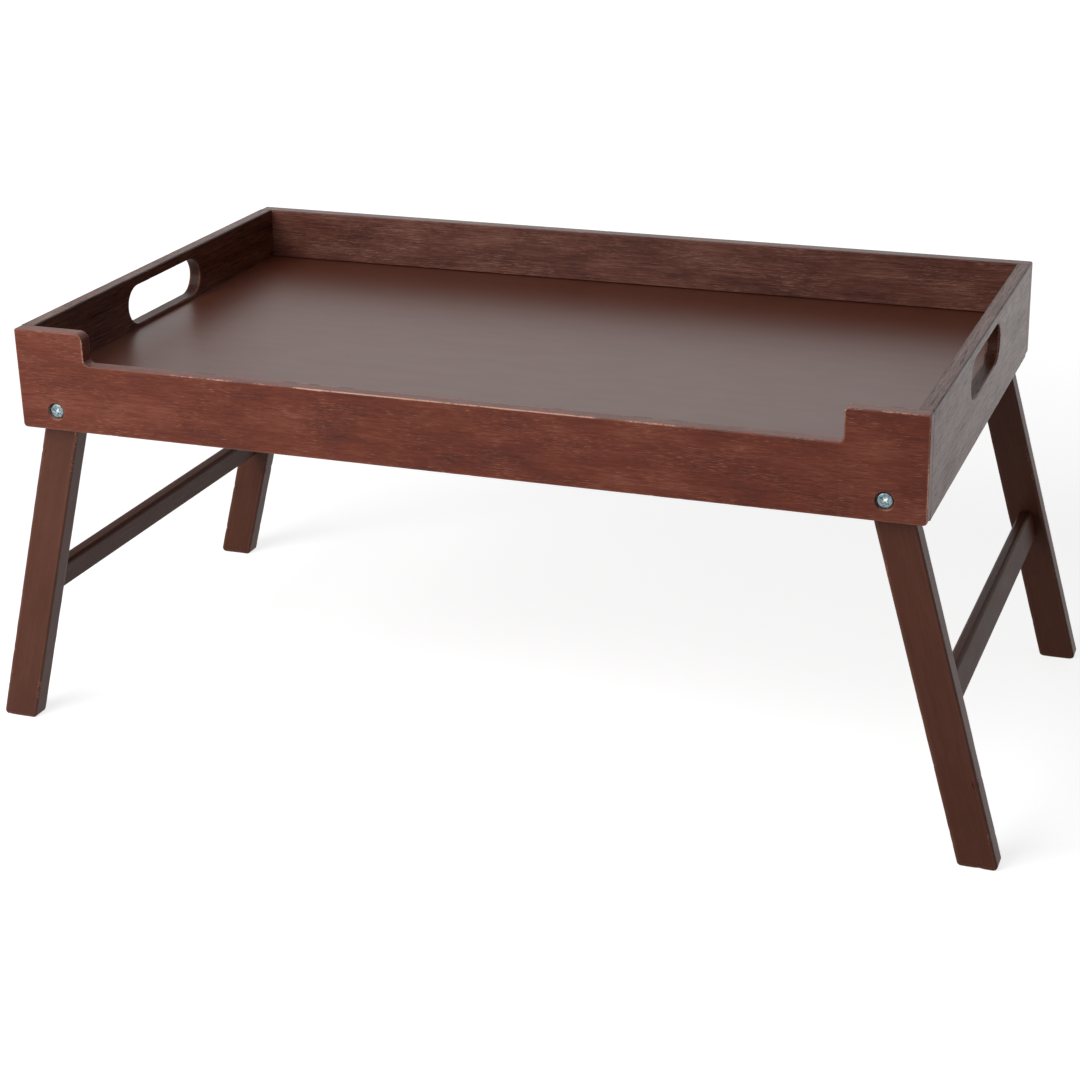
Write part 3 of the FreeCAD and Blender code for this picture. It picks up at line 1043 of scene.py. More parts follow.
@dataclass(frozen=True)
class Pivot:
    """Where the right leg frame turns. The left one's place mirrors it."""

    x: float
    z: float

    @classmethod
    def read(cls) -> "Pivot":
        """Reads it from the frame's joints."""
        place = next(joint["pos_m"] for joint in frame["joints"] if joint["name"] == "right_leg_fold")
        return cls(place[0], place[2])


@dataclass
class TrayFrame:
    """The four rails round the tray."""

    top_corner_radius: float = 1.2 * MM
    bottom_corner_radius: float = 2.2 * MM
    outer_arris: float = 0.45 * MM
    inner_arris: float = 0.45 * MM
    end_outer_arris: float = 0.5 * MM
    end_inner_arris: float = 0.9 * MM
    shoulder_length: float = 42.5 * MM
    lowering_depth: float = 18.0 * MM
    left_shoulder_radius: float = 4.0 * MM
    right_shoulder_radius: float = 2.4 * MM
    lowering_radius: float = 3.0 * MM
    groove_depth: float = 3.0 * MM
    groove_play: float = 0.5 * MM
    recess_diameter: float = 10.0 * MM
    recess_depth: float = 3.6 * MM
    recess_arris: float = 0.3 * MM
    bore_diameter: float = 4.1 * MM
    hand_hole_length: float = 86.0 * MM
    hand_hole_height: float = 23.0 * MM
    hand_hole_drop: float = 17.5 * MM
    hand_hole_arris: float = 0.9 * MM
    hand_hole_margin: float = 2.0 * MM
    long_margin: float = 1.15 * MM
    long_sawn: float = 0.35
    end_sawn: float = 1.0
    end_share: float = 0.12
    end_groove_gap: float = 0.6 * MM
    # The palest stretch of the lowered front arris: stain rubbed through and a painted highlight.
    bright_run: tuple[float, float] = (-85 * MM, 85 * MM)

    def __post_init__(self) -> None:
        """Reads the rails' places from the frame."""
        low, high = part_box("front_rail")
        self.half_length, self.bottom, self.top = high.x, low.z, high.z
        self.half_width, self.long_thickness = -low.y, high.y - low.y
        low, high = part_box("right_end_rail")
        self.end_thickness = high.x - low.x
        self.panel_low, self.panel_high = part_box("tray_panel")
        self.pivot = Pivot.read()

    def groove(self, half_run: float) -> list[Corner]:
        """Outline of the panel's groove on a rail's inner face, clockwise, from half of its length."""
        top = self.panel_high.z + self.groove_play
        return clockwise(rectangle(-half_run, half_run, self.panel_low.z, top))

    def long_openings(self) -> list[Opening]:
        """The groove and the two pivot holes of a long rail.

        Returns:
            The openings.
        """
        groove = self.groove(self.half_length - self.end_thickness + self.groove_depth)
        openings = [back_pocket(groove, self.groove_depth, self.long_thickness)]
        for side in Side:
            openings.append(counterbore(side.value * self.pivot.x, self.pivot.z, self.recess_diameter,
                                        self.recess_depth, self.bore_diameter, self.long_thickness,
                                        self.recess_arris))
        return openings

    def front_rail(self) -> Board:
        """The front rail: full height at its shoulders, lowered between them.

        Returns:
            The board.
        """
        step = self.half_length - self.shoulder_length
        lowered = self.top - self.lowering_depth
        # How pale each run's arris line is: stain rubbed through, and along the lowered edge and up the left
        # shoulder also a painted highlight.
        outline = [
            Corner(-self.half_length, self.bottom, self.bottom_corner_radius, rub=0.45),
            Corner(self.half_length, self.bottom, self.bottom_corner_radius, rub=0.75),
            Corner(self.half_length, self.top, self.top_corner_radius, rub=0.7),
            Corner(step, self.top, self.right_shoulder_radius, rub=0.75),
            Corner(step, lowered, self.lowering_radius, rub=0.6),
            Corner(self.bright_run[1], lowered, rub=0.95),
            Corner(self.bright_run[0], lowered, rub=0.55),
            Corner(-step, lowered, self.lowering_radius, rub=0.85),
            Corner(-step, self.top, self.left_shoulder_radius, rub=0.55),
            Corner(-self.half_length, self.top, self.top_corner_radius, rub=0.55),
        ]
        return Board("front_rail_wood", outline, self.long_thickness, -ACROSS * self.half_width, ALONG, UP,
                     seed=1, front_arris=self.outer_arris, back_arris=self.inner_arris,
                     openings=self.long_openings(), margin=self.long_margin, sawn=self.long_sawn, chips=1.0)

    def back_rail(self) -> Board:
        """The back rail: full height all along.

        Returns:
            The board.
        """
        outline = [
            Corner(-self.half_length, self.bottom, self.bottom_corner_radius, rub=0.45),
            Corner(self.half_length, self.bottom, self.bottom_corner_radius, rub=0.5),
            Corner(self.half_length, self.top, self.top_corner_radius, rub=0.2),
            Corner(-self.half_length, self.top, self.top_corner_radius, rub=0.5),
        ]
        return Board("back_rail_wood", outline, self.long_thickness, ACROSS * self.half_width, -ALONG, UP,
                     seed=2, front_arris=self.outer_arris, back_arris=self.inner_arris,
                     openings=self.long_openings(), margin=self.long_margin, sawn=self.long_sawn)

    def end_rail(self, side: Side) -> Board:
        """An end rail with its hand hole, between the long rails.

        Args:
            side: Which end.

        Returns:
            The board.
        """
        reach = self.half_width - self.long_thickness
        outline = [
            Corner(-reach, self.bottom, rub=0.6),
            Corner(reach, self.bottom, share=self.end_share, rub=0.0),
            Corner(reach, self.top, rub=-0.6),
            Corner(-reach, self.top, share=self.end_share, rub=0.0),
        ]
        middle = self.top - self.hand_hole_drop
        half_length, half_height = self.hand_hole_length / 2, self.hand_hole_height / 2
        hole = clockwise(rectangle(-half_length, half_length, middle - half_height, middle + half_height,
                                   half_height, rub=0.2))
        openings = [
            through_hole(hole, self.end_thickness, self.hand_hole_arris, self.hand_hole_margin),
            back_pocket(self.groove(reach - self.end_groove_gap), self.groove_depth, self.end_thickness),
        ]
        return Board(f"{side.word}_end_rail_wood", outline, self.end_thickness,
                     ALONG * (side.value * self.half_length), ACROSS * side.value, UP, seed=4 + side.value,
                     front_arris=self.end_outer_arris, back_arris=self.end_inner_arris, openings=openings,
                     sawn=self.end_sawn)

    def build(self, finishes: Finishes) -> None:
        """Builds and dresses the rails.

        Args:
            finishes: The finishes.
        """
        boards = {"front_rail": (self.front_rail(), finishes.by_slot[Slot.RAIL]),
                  "back_rail": (self.back_rail(), finishes.back_rail)}
        for side in Side:
            boards[f"{side.word}_end_rail"] = (self.end_rail(side), finishes.end_rail)
        for node, (board, finish) in boards.items():
            dressed(board.build(), finish, TRAY_BODY, [node])


@dataclass
class TrayPanel:
    """The tray's floor, held in the rails' grooves."""

    arris: float = 0.3 * MM
    margin: float = 1.0 * MM
    spacing: float = 8.0 * MM

    def build(self, finishes: Finishes) -> None:
        """Builds and dresses the panel.

        Args:
            finishes: The finishes.
        """
        low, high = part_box("tray_panel")
        board = Board("tray_panel_wood", rectangle(low.x, high.x, low.y, high.y), high.z - low.z, UP * high.z,
                      ALONG, ACROSS, seed=7, front_arris=self.arris, back_arris=self.arris,
                      margin=self.margin, spacing=self.spacing)
        dressed(board.build(), finishes.by_slot[Slot.PANEL], TRAY_BODY, ["tray_panel"])


@dataclass
class LegFrame:
    """Two legs and the stretcher between them, which fold together."""

    side: Side
    width: float = 20.8 * MM
    splay_deg: float = 15.0
    arris: float = 1.4 * MM
    margin: float = 2.4 * MM
    foot_radius: float = 2.5 * MM
    pocket_diameter: float = 10.6 * MM
    pocket_depth: float = 5.6 * MM
    bore_diameter: float = 4.16 * MM
    pocket_arris: float = 0.3 * MM
    stretcher_depth: float = 18.0 * MM
    stretcher_thickness: float = 8.0 * MM
    stretcher_radius: float = 2.5 * MM
    stretcher_distance: float = 117.2 * MM
    stretcher_arris: float = 1.0 * MM
    stretcher_share: float = 0.1

    def __post_init__(self) -> None:
        """Reads the legs' places from the frame."""
        low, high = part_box("front_right_leg")
        self.outer_y, self.inner_y = -low.y, -high.y
        self.pivot = Pivot.read()
        self.splay = math.radians(self.splay_deg)
        lean = self.side.value
        self.down = Vector((lean * math.sin(self.splay), -math.cos(self.splay)))
        self.out = Vector((lean * math.cos(self.splay), math.sin(self.splay)))
        self.centre = Vector((lean * self.pivot.x, self.pivot.z))

    def leg(self, face: Face) -> Board:
        """One leg.

        Args:
            face: The long side that it stands at.

        Returns:
            The board.
        """
        half = self.width / 2
        to_floor = self.pivot.z / math.cos(self.splay)
        slant = half * math.tan(self.splay)
        top = self.centre - self.down * half
        places = [
            (self.centre + self.out * half + self.down * (to_floor + slant), self.foot_radius),
            (top + self.out * half, half),
            (top - self.out * half, half),
            (self.centre - self.out * half + self.down * (to_floor - slant), self.foot_radius),
        ]
        across = -face.value
        corners = [Corner(across * place.x, place.y, radius) for place, radius in places]
        if self.side.value * across < 0:
            corners.reverse()
        thickness = self.outer_y - self.inner_y
        pocket = counterbore(across * self.centre.x, self.centre.y, self.pocket_diameter, self.pocket_depth,
                             self.bore_diameter, thickness, self.pocket_arris)
        return Board(f"{face.word}_{self.side.word}_leg_wood", corners, thickness,
                     ACROSS * (face.value * self.outer_y), ALONG * across, UP,
                     seed=10 + 2 * self.side.value + face.value, front_arris=self.arris,
                     back_arris=self.arris, openings=[from_the_back(pocket, thickness)],
                     grain=Vector((across * self.down.x, self.down.y)), margin=self.margin)

    def stretcher(self) -> Board:
        """The stretcher between the legs' inner faces.

        Returns:
            The board.
        """
        half_out, half_down = self.stretcher_thickness / 2, self.stretcher_depth / 2
        outline = [replace(corner, share=self.stretcher_share) for corner in
                   rectangle(-half_out, half_out, -half_down, half_down, self.stretcher_radius)]
        middle = self.centre + self.down * self.stretcher_distance
        origin = Vector((middle.x, -self.side.value * self.inner_y, middle.y))
        return Board(f"{self.side.word}_stretcher_wood", outline, 2 * self.inner_y, origin,
                     Vector((self.out.x, 0, self.out.y)), Vector((-self.down.x, 0, -self.down.y)),
                     seed=20 + self.side.value, front_arris=self.stretcher_arris,
                     back_arris=self.stretcher_arris, grain=None)

    def build(self, finishes: Finishes) -> None:
        """Builds and dresses the frame.

        Args:
            finishes: The finishes.
        """
        side = self.side.word
        body, leg_wood = f"{side}_leg_frame", finishes.by_slot[Slot.LEG]
        for face in Face:
            dressed(self.leg(face).build(), leg_wood, body, [f"{face.word}_{side}_leg"])
        dressed(self.stretcher().build(), finishes.stretcher, body, [f"{side}_stretcher"])


# ---------------------------------------------------------------- pivot hardware

# A cross recess's floor by its width, and how deep it goes and how tall its cutter is by its nominal depth.
DRIVE_FLOOR, DRIVE_REACH, DRIVE_STRETCH = 0.42, 0.96, 1.05

# How the fasteners' hard edges are rounded.
ROUNDING_SEGMENTS, ROUNDING_FROM_DEG = 2, 40


class GeometrySheet(NodeSheet):
    """A geometry node tree for one kind of fastener, repeated on the four pivots."""

    def __init__(self, name: str, sizes: dict[str, float]) -> None:
        """Starts the tree.

        Args:
            name: Its name.
            sizes: Its inputs with their values, in metres, radians or counts.
        """
        super().__init__(bpy.data.node_groups.new(name, "GeometryNodeTree"))
        self.sizes = sizes
        sockets = self.tree.interface
        for label, value in sizes.items():
            sockets.new_socket(label, in_out="INPUT", socket_type="NodeSocketFloat").default_value = value
        sockets.new_socket("Finish", in_out="INPUT", socket_type="NodeSocketMaterial")
        sockets.new_socket("Pieces", in_out="OUTPUT", socket_type="NodeSocketGeometry")
        self.given = self.add("NodeGroupInput").outputs

    def by_index(self, values: list[object]) -> bpy.types.NodeSocket:
        """One value for each point of a line.

        Args:
            values: The values in order.

        Returns:
            The field.
        """
        switch = self.tree.nodes.new("GeometryNodeIndexSwitch")
        switch.data_type = "FLOAT"
        while len(switch.index_switch_items) < len(values):
            switch.index_switch_items.new()
        self.feed(switch.inputs["Index"], self.add("GeometryNodeInputIndex").outputs[0])
        for position, value in enumerate(values):
            self.feed(switch.inputs[str(position)], value)
        return switch.outputs[0]

    def turned(self, section: list[tuple[object, object]], sides: int) -> bpy.types.NodeSocket:
        """Solid turned about the Z axis.

        Args:
            section: Radius and height of each ring, from the lowest to the highest.
            sides: Sides of the rings.

        Returns:
            The mesh.
        """
        line = self.add("GeometryNodeMeshLine", {"Count": len(section)}).outputs[0]
        height = self.by_index([height for _, height in section])
        place = self.add("ShaderNodeCombineXYZ", {"Z": height}).outputs[0]
        line = self.add("GeometryNodeSetPosition", {"Geometry": line, "Position": place}).outputs[0]
        path = self.add("GeometryNodeMeshToCurve", {0: line}).outputs[0]
        ring = self.add("GeometryNodeCurvePrimitiveCircle", {"Resolution": sides, "Radius": 1.0}).outputs[0]
        radius = self.by_index([radius for radius, _ in section])
        return self.add("GeometryNodeCurveToMesh", {"Curve": path, "Profile Curve": ring, "Scale": radius,
                                                    "Fill Caps": True}).outputs[0]

    def combined(self, operation: str, *meshes: object) -> bpy.types.NodeSocket:
        """Boolean of meshes.

        Args:
            operation: DIFFERENCE, INTERSECT or UNION.
            *meshes: The meshes, where a difference takes the others from the first.

        Returns:
            The mesh.
        """
        node = self.add("GeometryNodeMeshBoolean", operation=operation, solver="EXACT")
        for position, mesh in enumerate(meshes):
            whole = operation == "DIFFERENCE" and position == 0
            self.feed(node.inputs["Mesh 1" if whole else "Mesh 2"], mesh)
        return node.outputs[0]

    def wing(self, across: bool) -> bpy.types.NodeSocket:
        """One wing of a cross recess, narrower towards its bottom.

        Args:
            across: Whether it lies across the other wing.

        Returns:
            The cutter's mesh.
        """
        depth = self.given["Drive Depth"]
        half = self.math("MULTIPLY", self.given["Drive Length"], math.sqrt(0.5))
        cone = self.add("GeometryNodeMeshCone", {
            "Vertices": 4, "Radius Bottom": self.math("MULTIPLY", half, DRIVE_FLOOR), "Radius Top": half,
            "Depth": depth}).outputs[0]
        quarter = self.add("GeometryNodeTransform", {"Geometry": cone,
                                                     "Rotation": (0, 0, math.pi / 4)}).outputs[0]
        thin = self.math("DIVIDE", self.given["Drive Width"], self.given["Drive Length"])
        size = self.add("ShaderNodeCombineXYZ", {"X": thin if across else 1.0, "Y": 1.0 if across else thin,
                                                 "Z": DRIVE_STRETCH}).outputs[0]
        floor = self.math("SUBTRACT", self.given["Head Height"], self.math("MULTIPLY", depth, DRIVE_REACH))
        rise = self.add("ShaderNodeCombineXYZ", {"Z": floor}).outputs[0]
        return self.add("GeometryNodeTransform", {"Geometry": quarter, "Translation": rise,
                                                  "Scale": size}).outputs[0]

    def distance_from_axis(self) -> bpy.types.NodeSocket:
        """Distance of each point from the Z axis.

        Returns:
            The field.
        """
        place = self.add("GeometryNodeInputPosition").outputs[0]
        flat = self.vector("MULTIPLY", place, (1, 1, 0)).outputs[0]
        return self.vector("LENGTH", flat).outputs["Value"]

    def marked(self, mesh: object, name: str, value: object) -> bpy.types.NodeSocket:
        """Keeps a value of each point for the finish to read.

        Args:
            mesh: The mesh.
            name: The attribute's name.
            value: The value.

        Returns:
            The mesh with the attribute.
        """
        node = self.add("GeometryNodeStoreNamedAttribute", {"Geometry": mesh, "Name": name},
                        data_type="FLOAT", domain="POINT")
        self.feed(next(socket for socket in node.inputs if socket.name == "Value" and socket.enabled), value)
        return node.outputs[0]

    def on_pivots(self, mesh: object) -> None:
        """Repeats a mesh on the four pivots, its Z axis outwards, and ends the tree.

        Args:
            mesh: The mesh, with its seat at Z = 0.
        """
        index = self.add("GeometryNodeInputIndex").outputs[0]
        end = self.math("MULTIPLY_ADD", self.math("MODULO", index, 2.0), 2.0, -1.0)
        face = self.math("MULTIPLY_ADD", self.math("FLOOR", self.math("DIVIDE", index, 2.0)), 2.0, -1.0)
        place = self.add("ShaderNodeCombineXYZ", {
            "X": self.math("MULTIPLY", end, self.given["Pivot Reach"]),
            "Y": self.math("MULTIPLY", face, self.given["Seat"]),
            "Z": self.given["Pivot Height"],
        }).outputs[0]
        points = self.add("GeometryNodePoints", {"Count": 4, "Position": place}).outputs[0]
        outwards = self.add("FunctionNodeAxisAngleToRotation", {
            "Axis": (1, 0, 0), "Angle": self.math("MULTIPLY", face, -math.pi / 2)}).outputs[0]
        twist = self.math("ADD", self.given["Twist"], self.math("MULTIPLY", index, self.given["Twist Step"]))
        spin = self.add("FunctionNodeAxisAngleToRotation", {"Axis": (0, 0, 1), "Angle": twist}).outputs[0]
        turn = self.add("FunctionNodeRotateRotation", {"Rotation": outwards, "Rotate By": spin},
                        rotation_space="LOCAL").outputs[0]
        copies = self.add("GeometryNodeInstanceOnPoints", {"Points": points, "Instance": mesh,
                                                           "Rotation": turn}).outputs[0]
        real = self.add("GeometryNodeRealizeInstances", {0: copies}).outputs[0]
        finished = self.add("GeometryNodeSetMaterial", {"Geometry": real,
                                                        "Material": self.given["Finish"]}).outputs[0]
        self.feed(self.add("NodeGroupOutput").inputs["Pieces"], finished)

    def pieces(self, name: str, finish: bpy.types.Material, bevel: float) -> bpy.types.Object:
        """Runs the tree and keeps its mesh.

        Args:
            name: The piece's name.
            finish: Its material.
            bevel: How far its hard edges are rounded.

        Returns:
            The piece, a plain mesh.
        """
        piece = linked(name, bpy.data.meshes.new(name))
        modifier = piece.modifiers.new("fasteners", "NODES")
        modifier.node_group = self.tree
        for socket in self.tree.interface.items_tree:
            if socket.in_out == "INPUT":
                modifier[socket.identifier] = finish if socket.name == "Finish" else self.sizes[socket.name]
        rounding = piece.modifiers.new("rounding", "BEVEL")
        rounding.width, rounding.segments, rounding.limit_method = bevel, ROUNDING_SEGMENTS, "ANGLE"
        rounding.angle_limit = math.radians(ROUNDING_FROM_DEG)
        return softly_shaded(applied(piece), FASTENER_CREASE_DEG)


@dataclass
class PivotHardware:
    """Screws, spacers, washers and lock nuts of the four pivots."""

    head_diameter: float = 8.4 * MM
    head_height: float = 2.4 * MM
    rim_height: float = 1.7 * MM
    flat_diameter: float = 6.4 * MM
    recess_depth: float = 3.6 * MM
    shank_diameter: float = 4.0 * MM
    drive_length: float = 5.2 * MM
    drive_width: float = 1.3 * MM
    drive_depth: float = 1.7 * MM
    drive_from: float = 0.1 * MM
    dome_steps: int = 5
    tip_bevel: float = 0.3 * MM
    tip_share: float = 0.85
    spacer_diameter: float = 10.0 * MM
    washer_diameter: float = 9.0 * MM
    hole_diameter: float = 4.1 * MM
    nut_across_flats: float = 7.0 * MM
    nut_end_share: float = 0.96
    nut_bevel_share: float = 0.6
    collar_height: float = 1.1 * MM
    collar_section: tuple[tuple[float, float], ...] = ((0.72, 0.0), (0.84, 0.2), (0.88, 0.6), (0.88, 1.2))
    screw_turns_deg: tuple[float, float] = (62, -22)
    nut_turns_deg: tuple[float, float] = (11, 17)
    screw_rounding: float = 0.06 * MM
    washer_rounding: float = 0.08 * MM
    nut_rounding: float = 0.05 * MM
    hair: float = 0.001 * MM
    overrun: float = 1.0 * MM
    sides: int = 40

    def __post_init__(self) -> None:
        """Reads the places along a pivot from the frame."""
        self.pivot = Pivot.read()
        self.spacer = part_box("front_right_spacer_washer")
        self.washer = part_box("front_right_nut_washer")
        self.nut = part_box("front_right_lock_nut")
        self.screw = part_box("front_right_pivot_screw")
        self.head_seat = -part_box("front_rail")[0].y - self.recess_depth

    def sheet(self, name: str, seat: float, sizes: dict[str, float],
              turns_deg: tuple[float, float] = (0.0, 0.0)) -> GeometrySheet:
        """Starts the tree of one kind of fastener.

        Args:
            name: Its name.
            seat: Distance of its seat from the middle of the tray.
            sizes: Its own sizes.
            turns_deg: How far the first is turned, and how much further each next one is.

        Returns:
            The sheet.
        """
        twist, twist_step = (math.radians(turn) for turn in turns_deg)
        places = {"Pivot Reach": self.pivot.x, "Pivot Height": self.pivot.z, "Seat": seat, "Twist": twist,
                  "Twist Step": twist_step}
        return GeometrySheet(name, {**sizes, **places})

    def screws(self) -> GeometrySheet:
        """Pan-head screws with a cross recess and a plain shank, the recess marked for painted light.

        Returns:
            The sheet.
        """
        sheet = self.sheet("pivot screw", self.head_seat, {
            "Head Diameter": self.head_diameter, "Head Height": self.head_height,
            "Rim Height": self.rim_height, "Flat Diameter": self.flat_diameter,
            "Shank Diameter": self.shank_diameter, "Shank Length": self.head_seat + self.screw[1].y,
            "Drive Length": self.drive_length, "Drive Width": self.drive_width,
            "Drive Depth": self.drive_depth,
        }, self.screw_turns_deg)
        given = sheet.given
        head, flat, shank = (sheet.math("DIVIDE", given[label], 2.0)
                             for label in ("Head Diameter", "Flat Diameter", "Shank Diameter"))
        tip = sheet.math("MULTIPLY", given["Shank Length"], -1.0)
        section = [(sheet.math("MULTIPLY", shank, self.tip_share), tip),
                   (shank, sheet.math("ADD", tip, self.tip_bevel)), (shank, -self.hair), (head, 0.0)]
        spread = sheet.math("SUBTRACT", head, flat)
        rise = sheet.math("SUBTRACT", given["Head Height"], given["Rim Height"])
        for step in range(self.dome_steps + 1):
            angle = math.pi / 2 * step / self.dome_steps
            section.append((sheet.math("MULTIPLY_ADD", spread, math.cos(angle), flat),
                            sheet.math("MULTIPLY_ADD", rise, math.sin(angle), given["Rim Height"])))
        driven = sheet.combined("DIFFERENCE", sheet.turned(section, self.sides), sheet.wing(False),
                                sheet.wing(True))
        # Painted light in the cross recess: each point inside it is marked more the deeper it lies below the
        # head's top, and the finish paints it paler.
        place = sheet.add("GeometryNodeInputPosition").outputs[0]
        height = sheet.add("ShaderNodeSeparateXYZ", {0: place}).outputs[2]
        sunk = sheet.math("SUBTRACT", given["Head Height"], height)
        sunk = sheet.math("DIVIDE", sunk, given["Drive Depth"])
        in_head = sheet.math("GREATER_THAN", height, self.drive_from)
        half_drive = sheet.math("MULTIPLY", given["Drive Length"], 0.5)
        close = sheet.math("LESS_THAN", sheet.distance_from_axis(), half_drive)
        value = sheet.math("MULTIPLY", sheet.math("MULTIPLY", sunk, in_head), close, clamp=True)
        sheet.on_pivots(sheet.marked(driven, "drive", value))
        return sheet

    def washers(self, name: str, diameter: float, box: tuple[Vector, Vector]) -> GeometrySheet:
        """Flat washers.

        Args:
            name: Their name.
            diameter: Their outer diameter.
            box: The box of the front right one.

        Returns:
            The sheet.
        """
        sheet = self.sheet(name, -box[1].y, {"Diameter": diameter, "Hole": self.hole_diameter,
                                             "Thickness": box[1].y - box[0].y})
        given = sheet.given
        outer, inner = (sheet.math("DIVIDE", given[label], 2.0) for label in ("Diameter", "Hole"))
        disc = sheet.turned([(outer, 0.0), (outer, given["Thickness"])], self.sides)
        above = sheet.math("ADD", given["Thickness"], self.overrun)
        bore = sheet.turned([(inner, -self.overrun), (inner, above)], self.sides)
        sheet.on_pivots(sheet.combined("DIFFERENCE", disc, bore))
        return sheet

    def nuts(self) -> GeometrySheet:
        """Hexagon lock nuts, bevelled at the corners, with a round collar towards the middle of the tray.

        Returns:
            The sheet.
        """
        sheet = self.sheet("lock nut", -self.nut[1].y, {
            "Across Flats": self.nut_across_flats, "Height": self.nut[1].y - self.nut[0].y,
            "Collar Height": self.collar_height, "Hole": self.hole_diameter,
        }, self.nut_turns_deg)
        given = sheet.given
        low, high = given["Collar Height"], given["Height"]
        flats = sheet.math("DIVIDE", given["Across Flats"], 2.0)
        corner = sheet.math("DIVIDE", flats, math.cos(math.pi / 6))
        hexagon = sheet.turned([(corner, low), (corner, high)], 6)
        bevel = sheet.math("SUBTRACT", corner, flats)
        end = sheet.math("MULTIPLY", flats, self.nut_end_share)
        barrel = sheet.turned([
            (end, sheet.math("ADD", low, -self.hair)),
            (corner, sheet.math("MULTIPLY_ADD", bevel, self.nut_bevel_share, low)),
            (corner, sheet.math("MULTIPLY_ADD", bevel, -self.nut_bevel_share, high)),
            (end, sheet.math("ADD", high, self.hair)),
        ], self.sides)
        body = sheet.combined("INTERSECT", hexagon, barrel)
        collar = sheet.turned([(sheet.math("MULTIPLY", flats, share), sheet.math("MULTIPLY", low, rise))
                               for share, rise in self.collar_section], self.sides)
        inner = sheet.math("DIVIDE", given["Hole"], 2.0)
        above = sheet.math("ADD", high, self.overrun)
        bore = sheet.turned([(inner, -self.overrun), (inner, above)], self.sides)
        sheet.on_pivots(sheet.combined("DIFFERENCE", sheet.combined("UNION", body, collar), bore))
        return sheet

    def build(self, finishes: Finishes) -> None:
        """Builds and dresses the hardware.

        Args:
            finishes: The finishes.
        """
        spacers = self.washers("spacer washer", self.spacer_diameter, self.spacer)
        nut_washers = self.washers("nut washer", self.washer_diameter, self.washer)
        kinds = {
            "pivot_screw": (self.screws(), Slot.ZINC, self.screw_rounding),
            "spacer_washer": (spacers, Slot.NYLON, self.washer_rounding),
            "nut_washer": (nut_washers, Slot.ZINC, self.washer_rounding),
            "lock_nut": (self.nuts(), Slot.ZINC, self.nut_rounding),
        }
        for kind, (sheet, slot, bevel) in kinds.items():
            piece = sheet.pieces(kind + "s", finishes.by_slot[slot], bevel)
            nodes = [f"{face.word}_{side.word}_{kind}" for face in Face for side in Side]
            dressed(piece, finishes.by_slot[slot], TRAY_BODY, nodes)


# ---------------------------------------------------------------- the studio


@dataclass(frozen=True)
class Lamp:
    """Square soft lamp: its name, where it hangs, what it faces, its side and its power in watts."""

    name: str
    place: tuple[float, float, float]
    target: tuple[float, float, float]
    size: float
    power: float

    def build(self) -> None:
        """Hangs the lamp."""
        light = bpy.data.lights.new(self.name, "AREA")
        light.size, light.energy = self.size, self.power
        lamp = linked(self.name, light)
        direction = Vector(self.target) - Vector(self.place)
        lamp.rotation_euler = direction.to_track_quat("-Z", "Y").to_euler()
        lamp.location = self.place


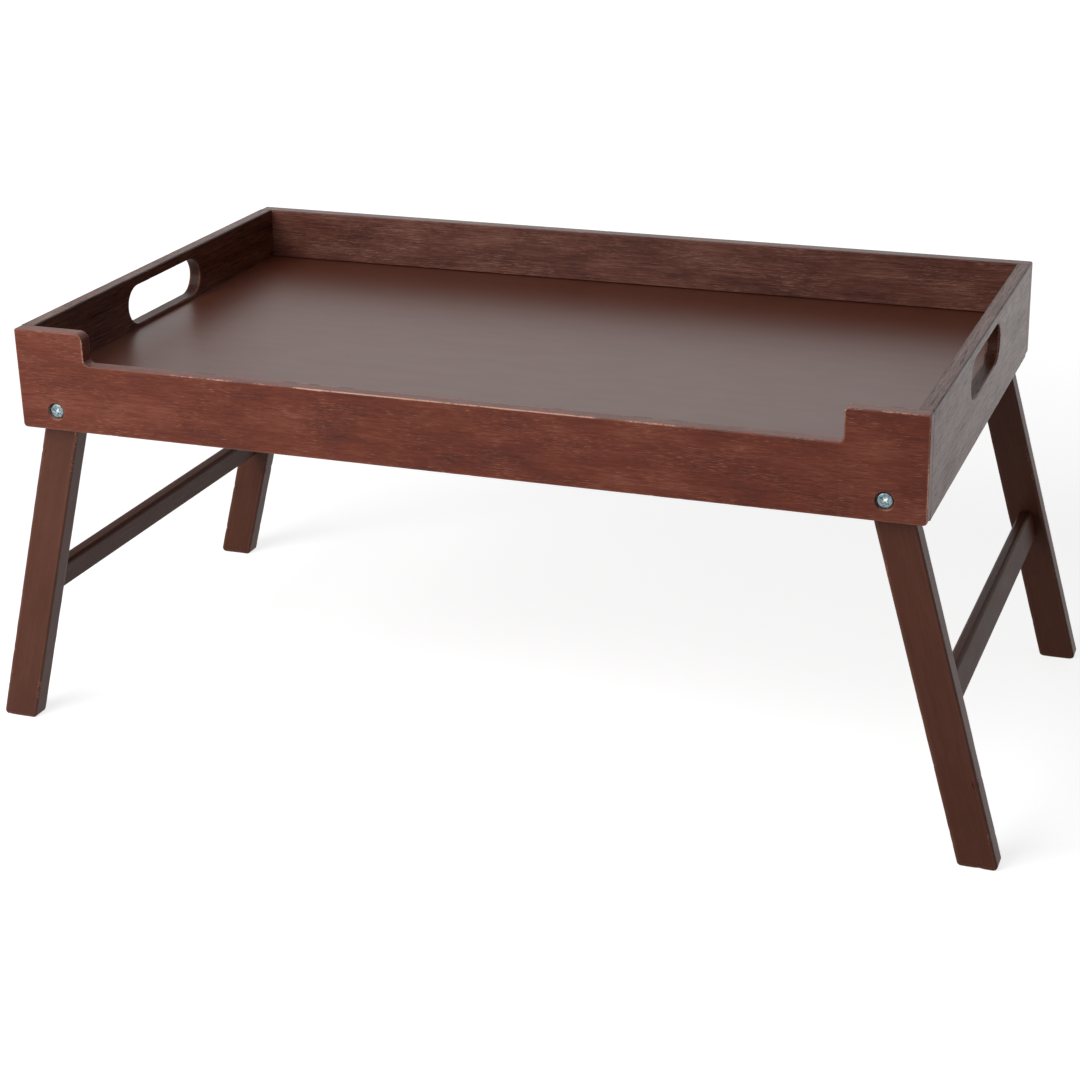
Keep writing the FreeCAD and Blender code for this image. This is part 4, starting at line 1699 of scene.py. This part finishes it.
@dataclass
class Studio:
    """Pale floor and backdrop, soft lamps and the camera."""

    image_size: float = 1080.0
    camera_place: tuple[float, float, float] = (0.443962, -1.1502, 0.587972)
    azimuth_deg: float = 20.08
    depression_deg: float = 20.70
    roll_deg: float = 0.954
    focal_pixels: float = 2223.65
    axis_pixel: tuple[float, float] = (585.0, 495.0)
    sensor_width: float = 36.0
    clip: tuple[float, float] = (0.05, 50.0)
    floor_reach: float = 6.0
    floor_grey: float = 0.65
    shadow_reach: tuple[float, float] = (0.45, 1.4)
    shadow_glow: float = 0.80
    world_light: float = 0.06
    white: tuple[float, float, float, float] = (1.0, 1.0, 1.0, 1.0)
    lamps: tuple[Lamp, ...] = (
        Lamp("key_lamp", (-0.56, -0.93, 0.75), (-0.05, 0, 0.15), 1.0, 13.2),
        Lamp("top_lamp", (0.2, 0.3, 1.8), (0, 0, 0.2), 1.4, 1.2),
        Lamp("back_lamp", (-0.45, 1.35, 1.05), (0, -0.1, 0.2), 1.0, 1.3),
    )

    def floor(self) -> None:
        """Makes the floor, which looks white and keeps a soft shadow round the table."""
        reach = self.floor_reach
        mesh = bpy.data.meshes.new("studio_floor")
        mesh.from_pydata([(-reach, -reach, 0), (reach, -reach, 0), (reach, reach, 0), (-reach, reach, 0)], [],
                         [(0, 1, 2, 3)])
        floor = linked("studio_floor", mesh)
        material = bpy.data.materials.new("studio paper")
        sheet = blank_sheet(material)
        paper = sheet.add("ShaderNodeBsdfDiffuse", {"Color": rgba((self.floor_grey,) * 3)})
        place = sheet.add("ShaderNodeTexCoord").outputs["Object"]
        distance = sheet.vector("LENGTH", place).outputs["Value"]
        level = sheet.ramp(distance, *self.shadow_reach, self.shadow_glow, 1.0)
        glow = sheet.add("ShaderNodeEmission", {"Color": self.white,
                                                "Strength": sheet.math("MULTIPLY", sheet.seen(), level)})
        sheet.show(sheet.add("ShaderNodeAddShader", {0: paper.outputs[0], 1: glow.outputs[0]}))
        floor.data.materials.append(material)

    def world(self) -> None:
        """Makes the world: white where it is seen or mirrored, dimmer as light."""
        world = bpy.data.worlds.new("studio")
        bpy.context.scene.world = world
        sheet = blank_sheet(world)
        strength = sheet.ramp(sheet.seen(), 0.0, 1.0, self.world_light, 1.0)
        sheet.show(sheet.add("ShaderNodeBackground", {"Color": self.white, "Strength": strength}),
                   "ShaderNodeOutputWorld")

    def camera(self) -> None:
        """Makes the camera at the photograph's place."""
        data = bpy.data.cameras.new("camera")
        camera = linked("camera", data)
        azimuth, depression, roll = (math.radians(angle) for angle in
                                     (self.azimuth_deg, self.depression_deg, self.roll_deg))
        turn = (Matrix.Rotation(azimuth, 4, "Z") @ Matrix.Rotation(math.pi / 2 - depression, 4, "X")
                @ Matrix.Rotation(-roll, 4, "Z"))
        camera.matrix_world = Matrix.Translation(self.camera_place) @ turn
        data.sensor_width = self.sensor_width
        data.lens = self.focal_pixels * self.sensor_width / self.image_size
        data.shift_x = (self.image_size / 2 - self.axis_pixel[0]) / self.image_size
        data.shift_y = (self.axis_pixel[1] - self.image_size / 2) / self.image_size
        data.clip_start, data.clip_end = self.clip
        bpy.context.scene.camera = camera

    def build(self) -> None:
        """Builds the studio."""
        self.camera()
        self.floor()
        self.world()
        for lamp in self.lamps:
            lamp.build()
        bpy.context.scene.view_settings.view_transform = "Standard"


def main() -> None:
    """Builds the table and the studio in order."""
    finishes = Finishes().build()
    TrayFrame().build(finishes)
    TrayPanel().build(finishes)
    for side in Side:
        LegFrame(side).build(finishes)
    PivotHardware().build(finishes)
    Studio().build()


if __name__ == "__main__":
    main()
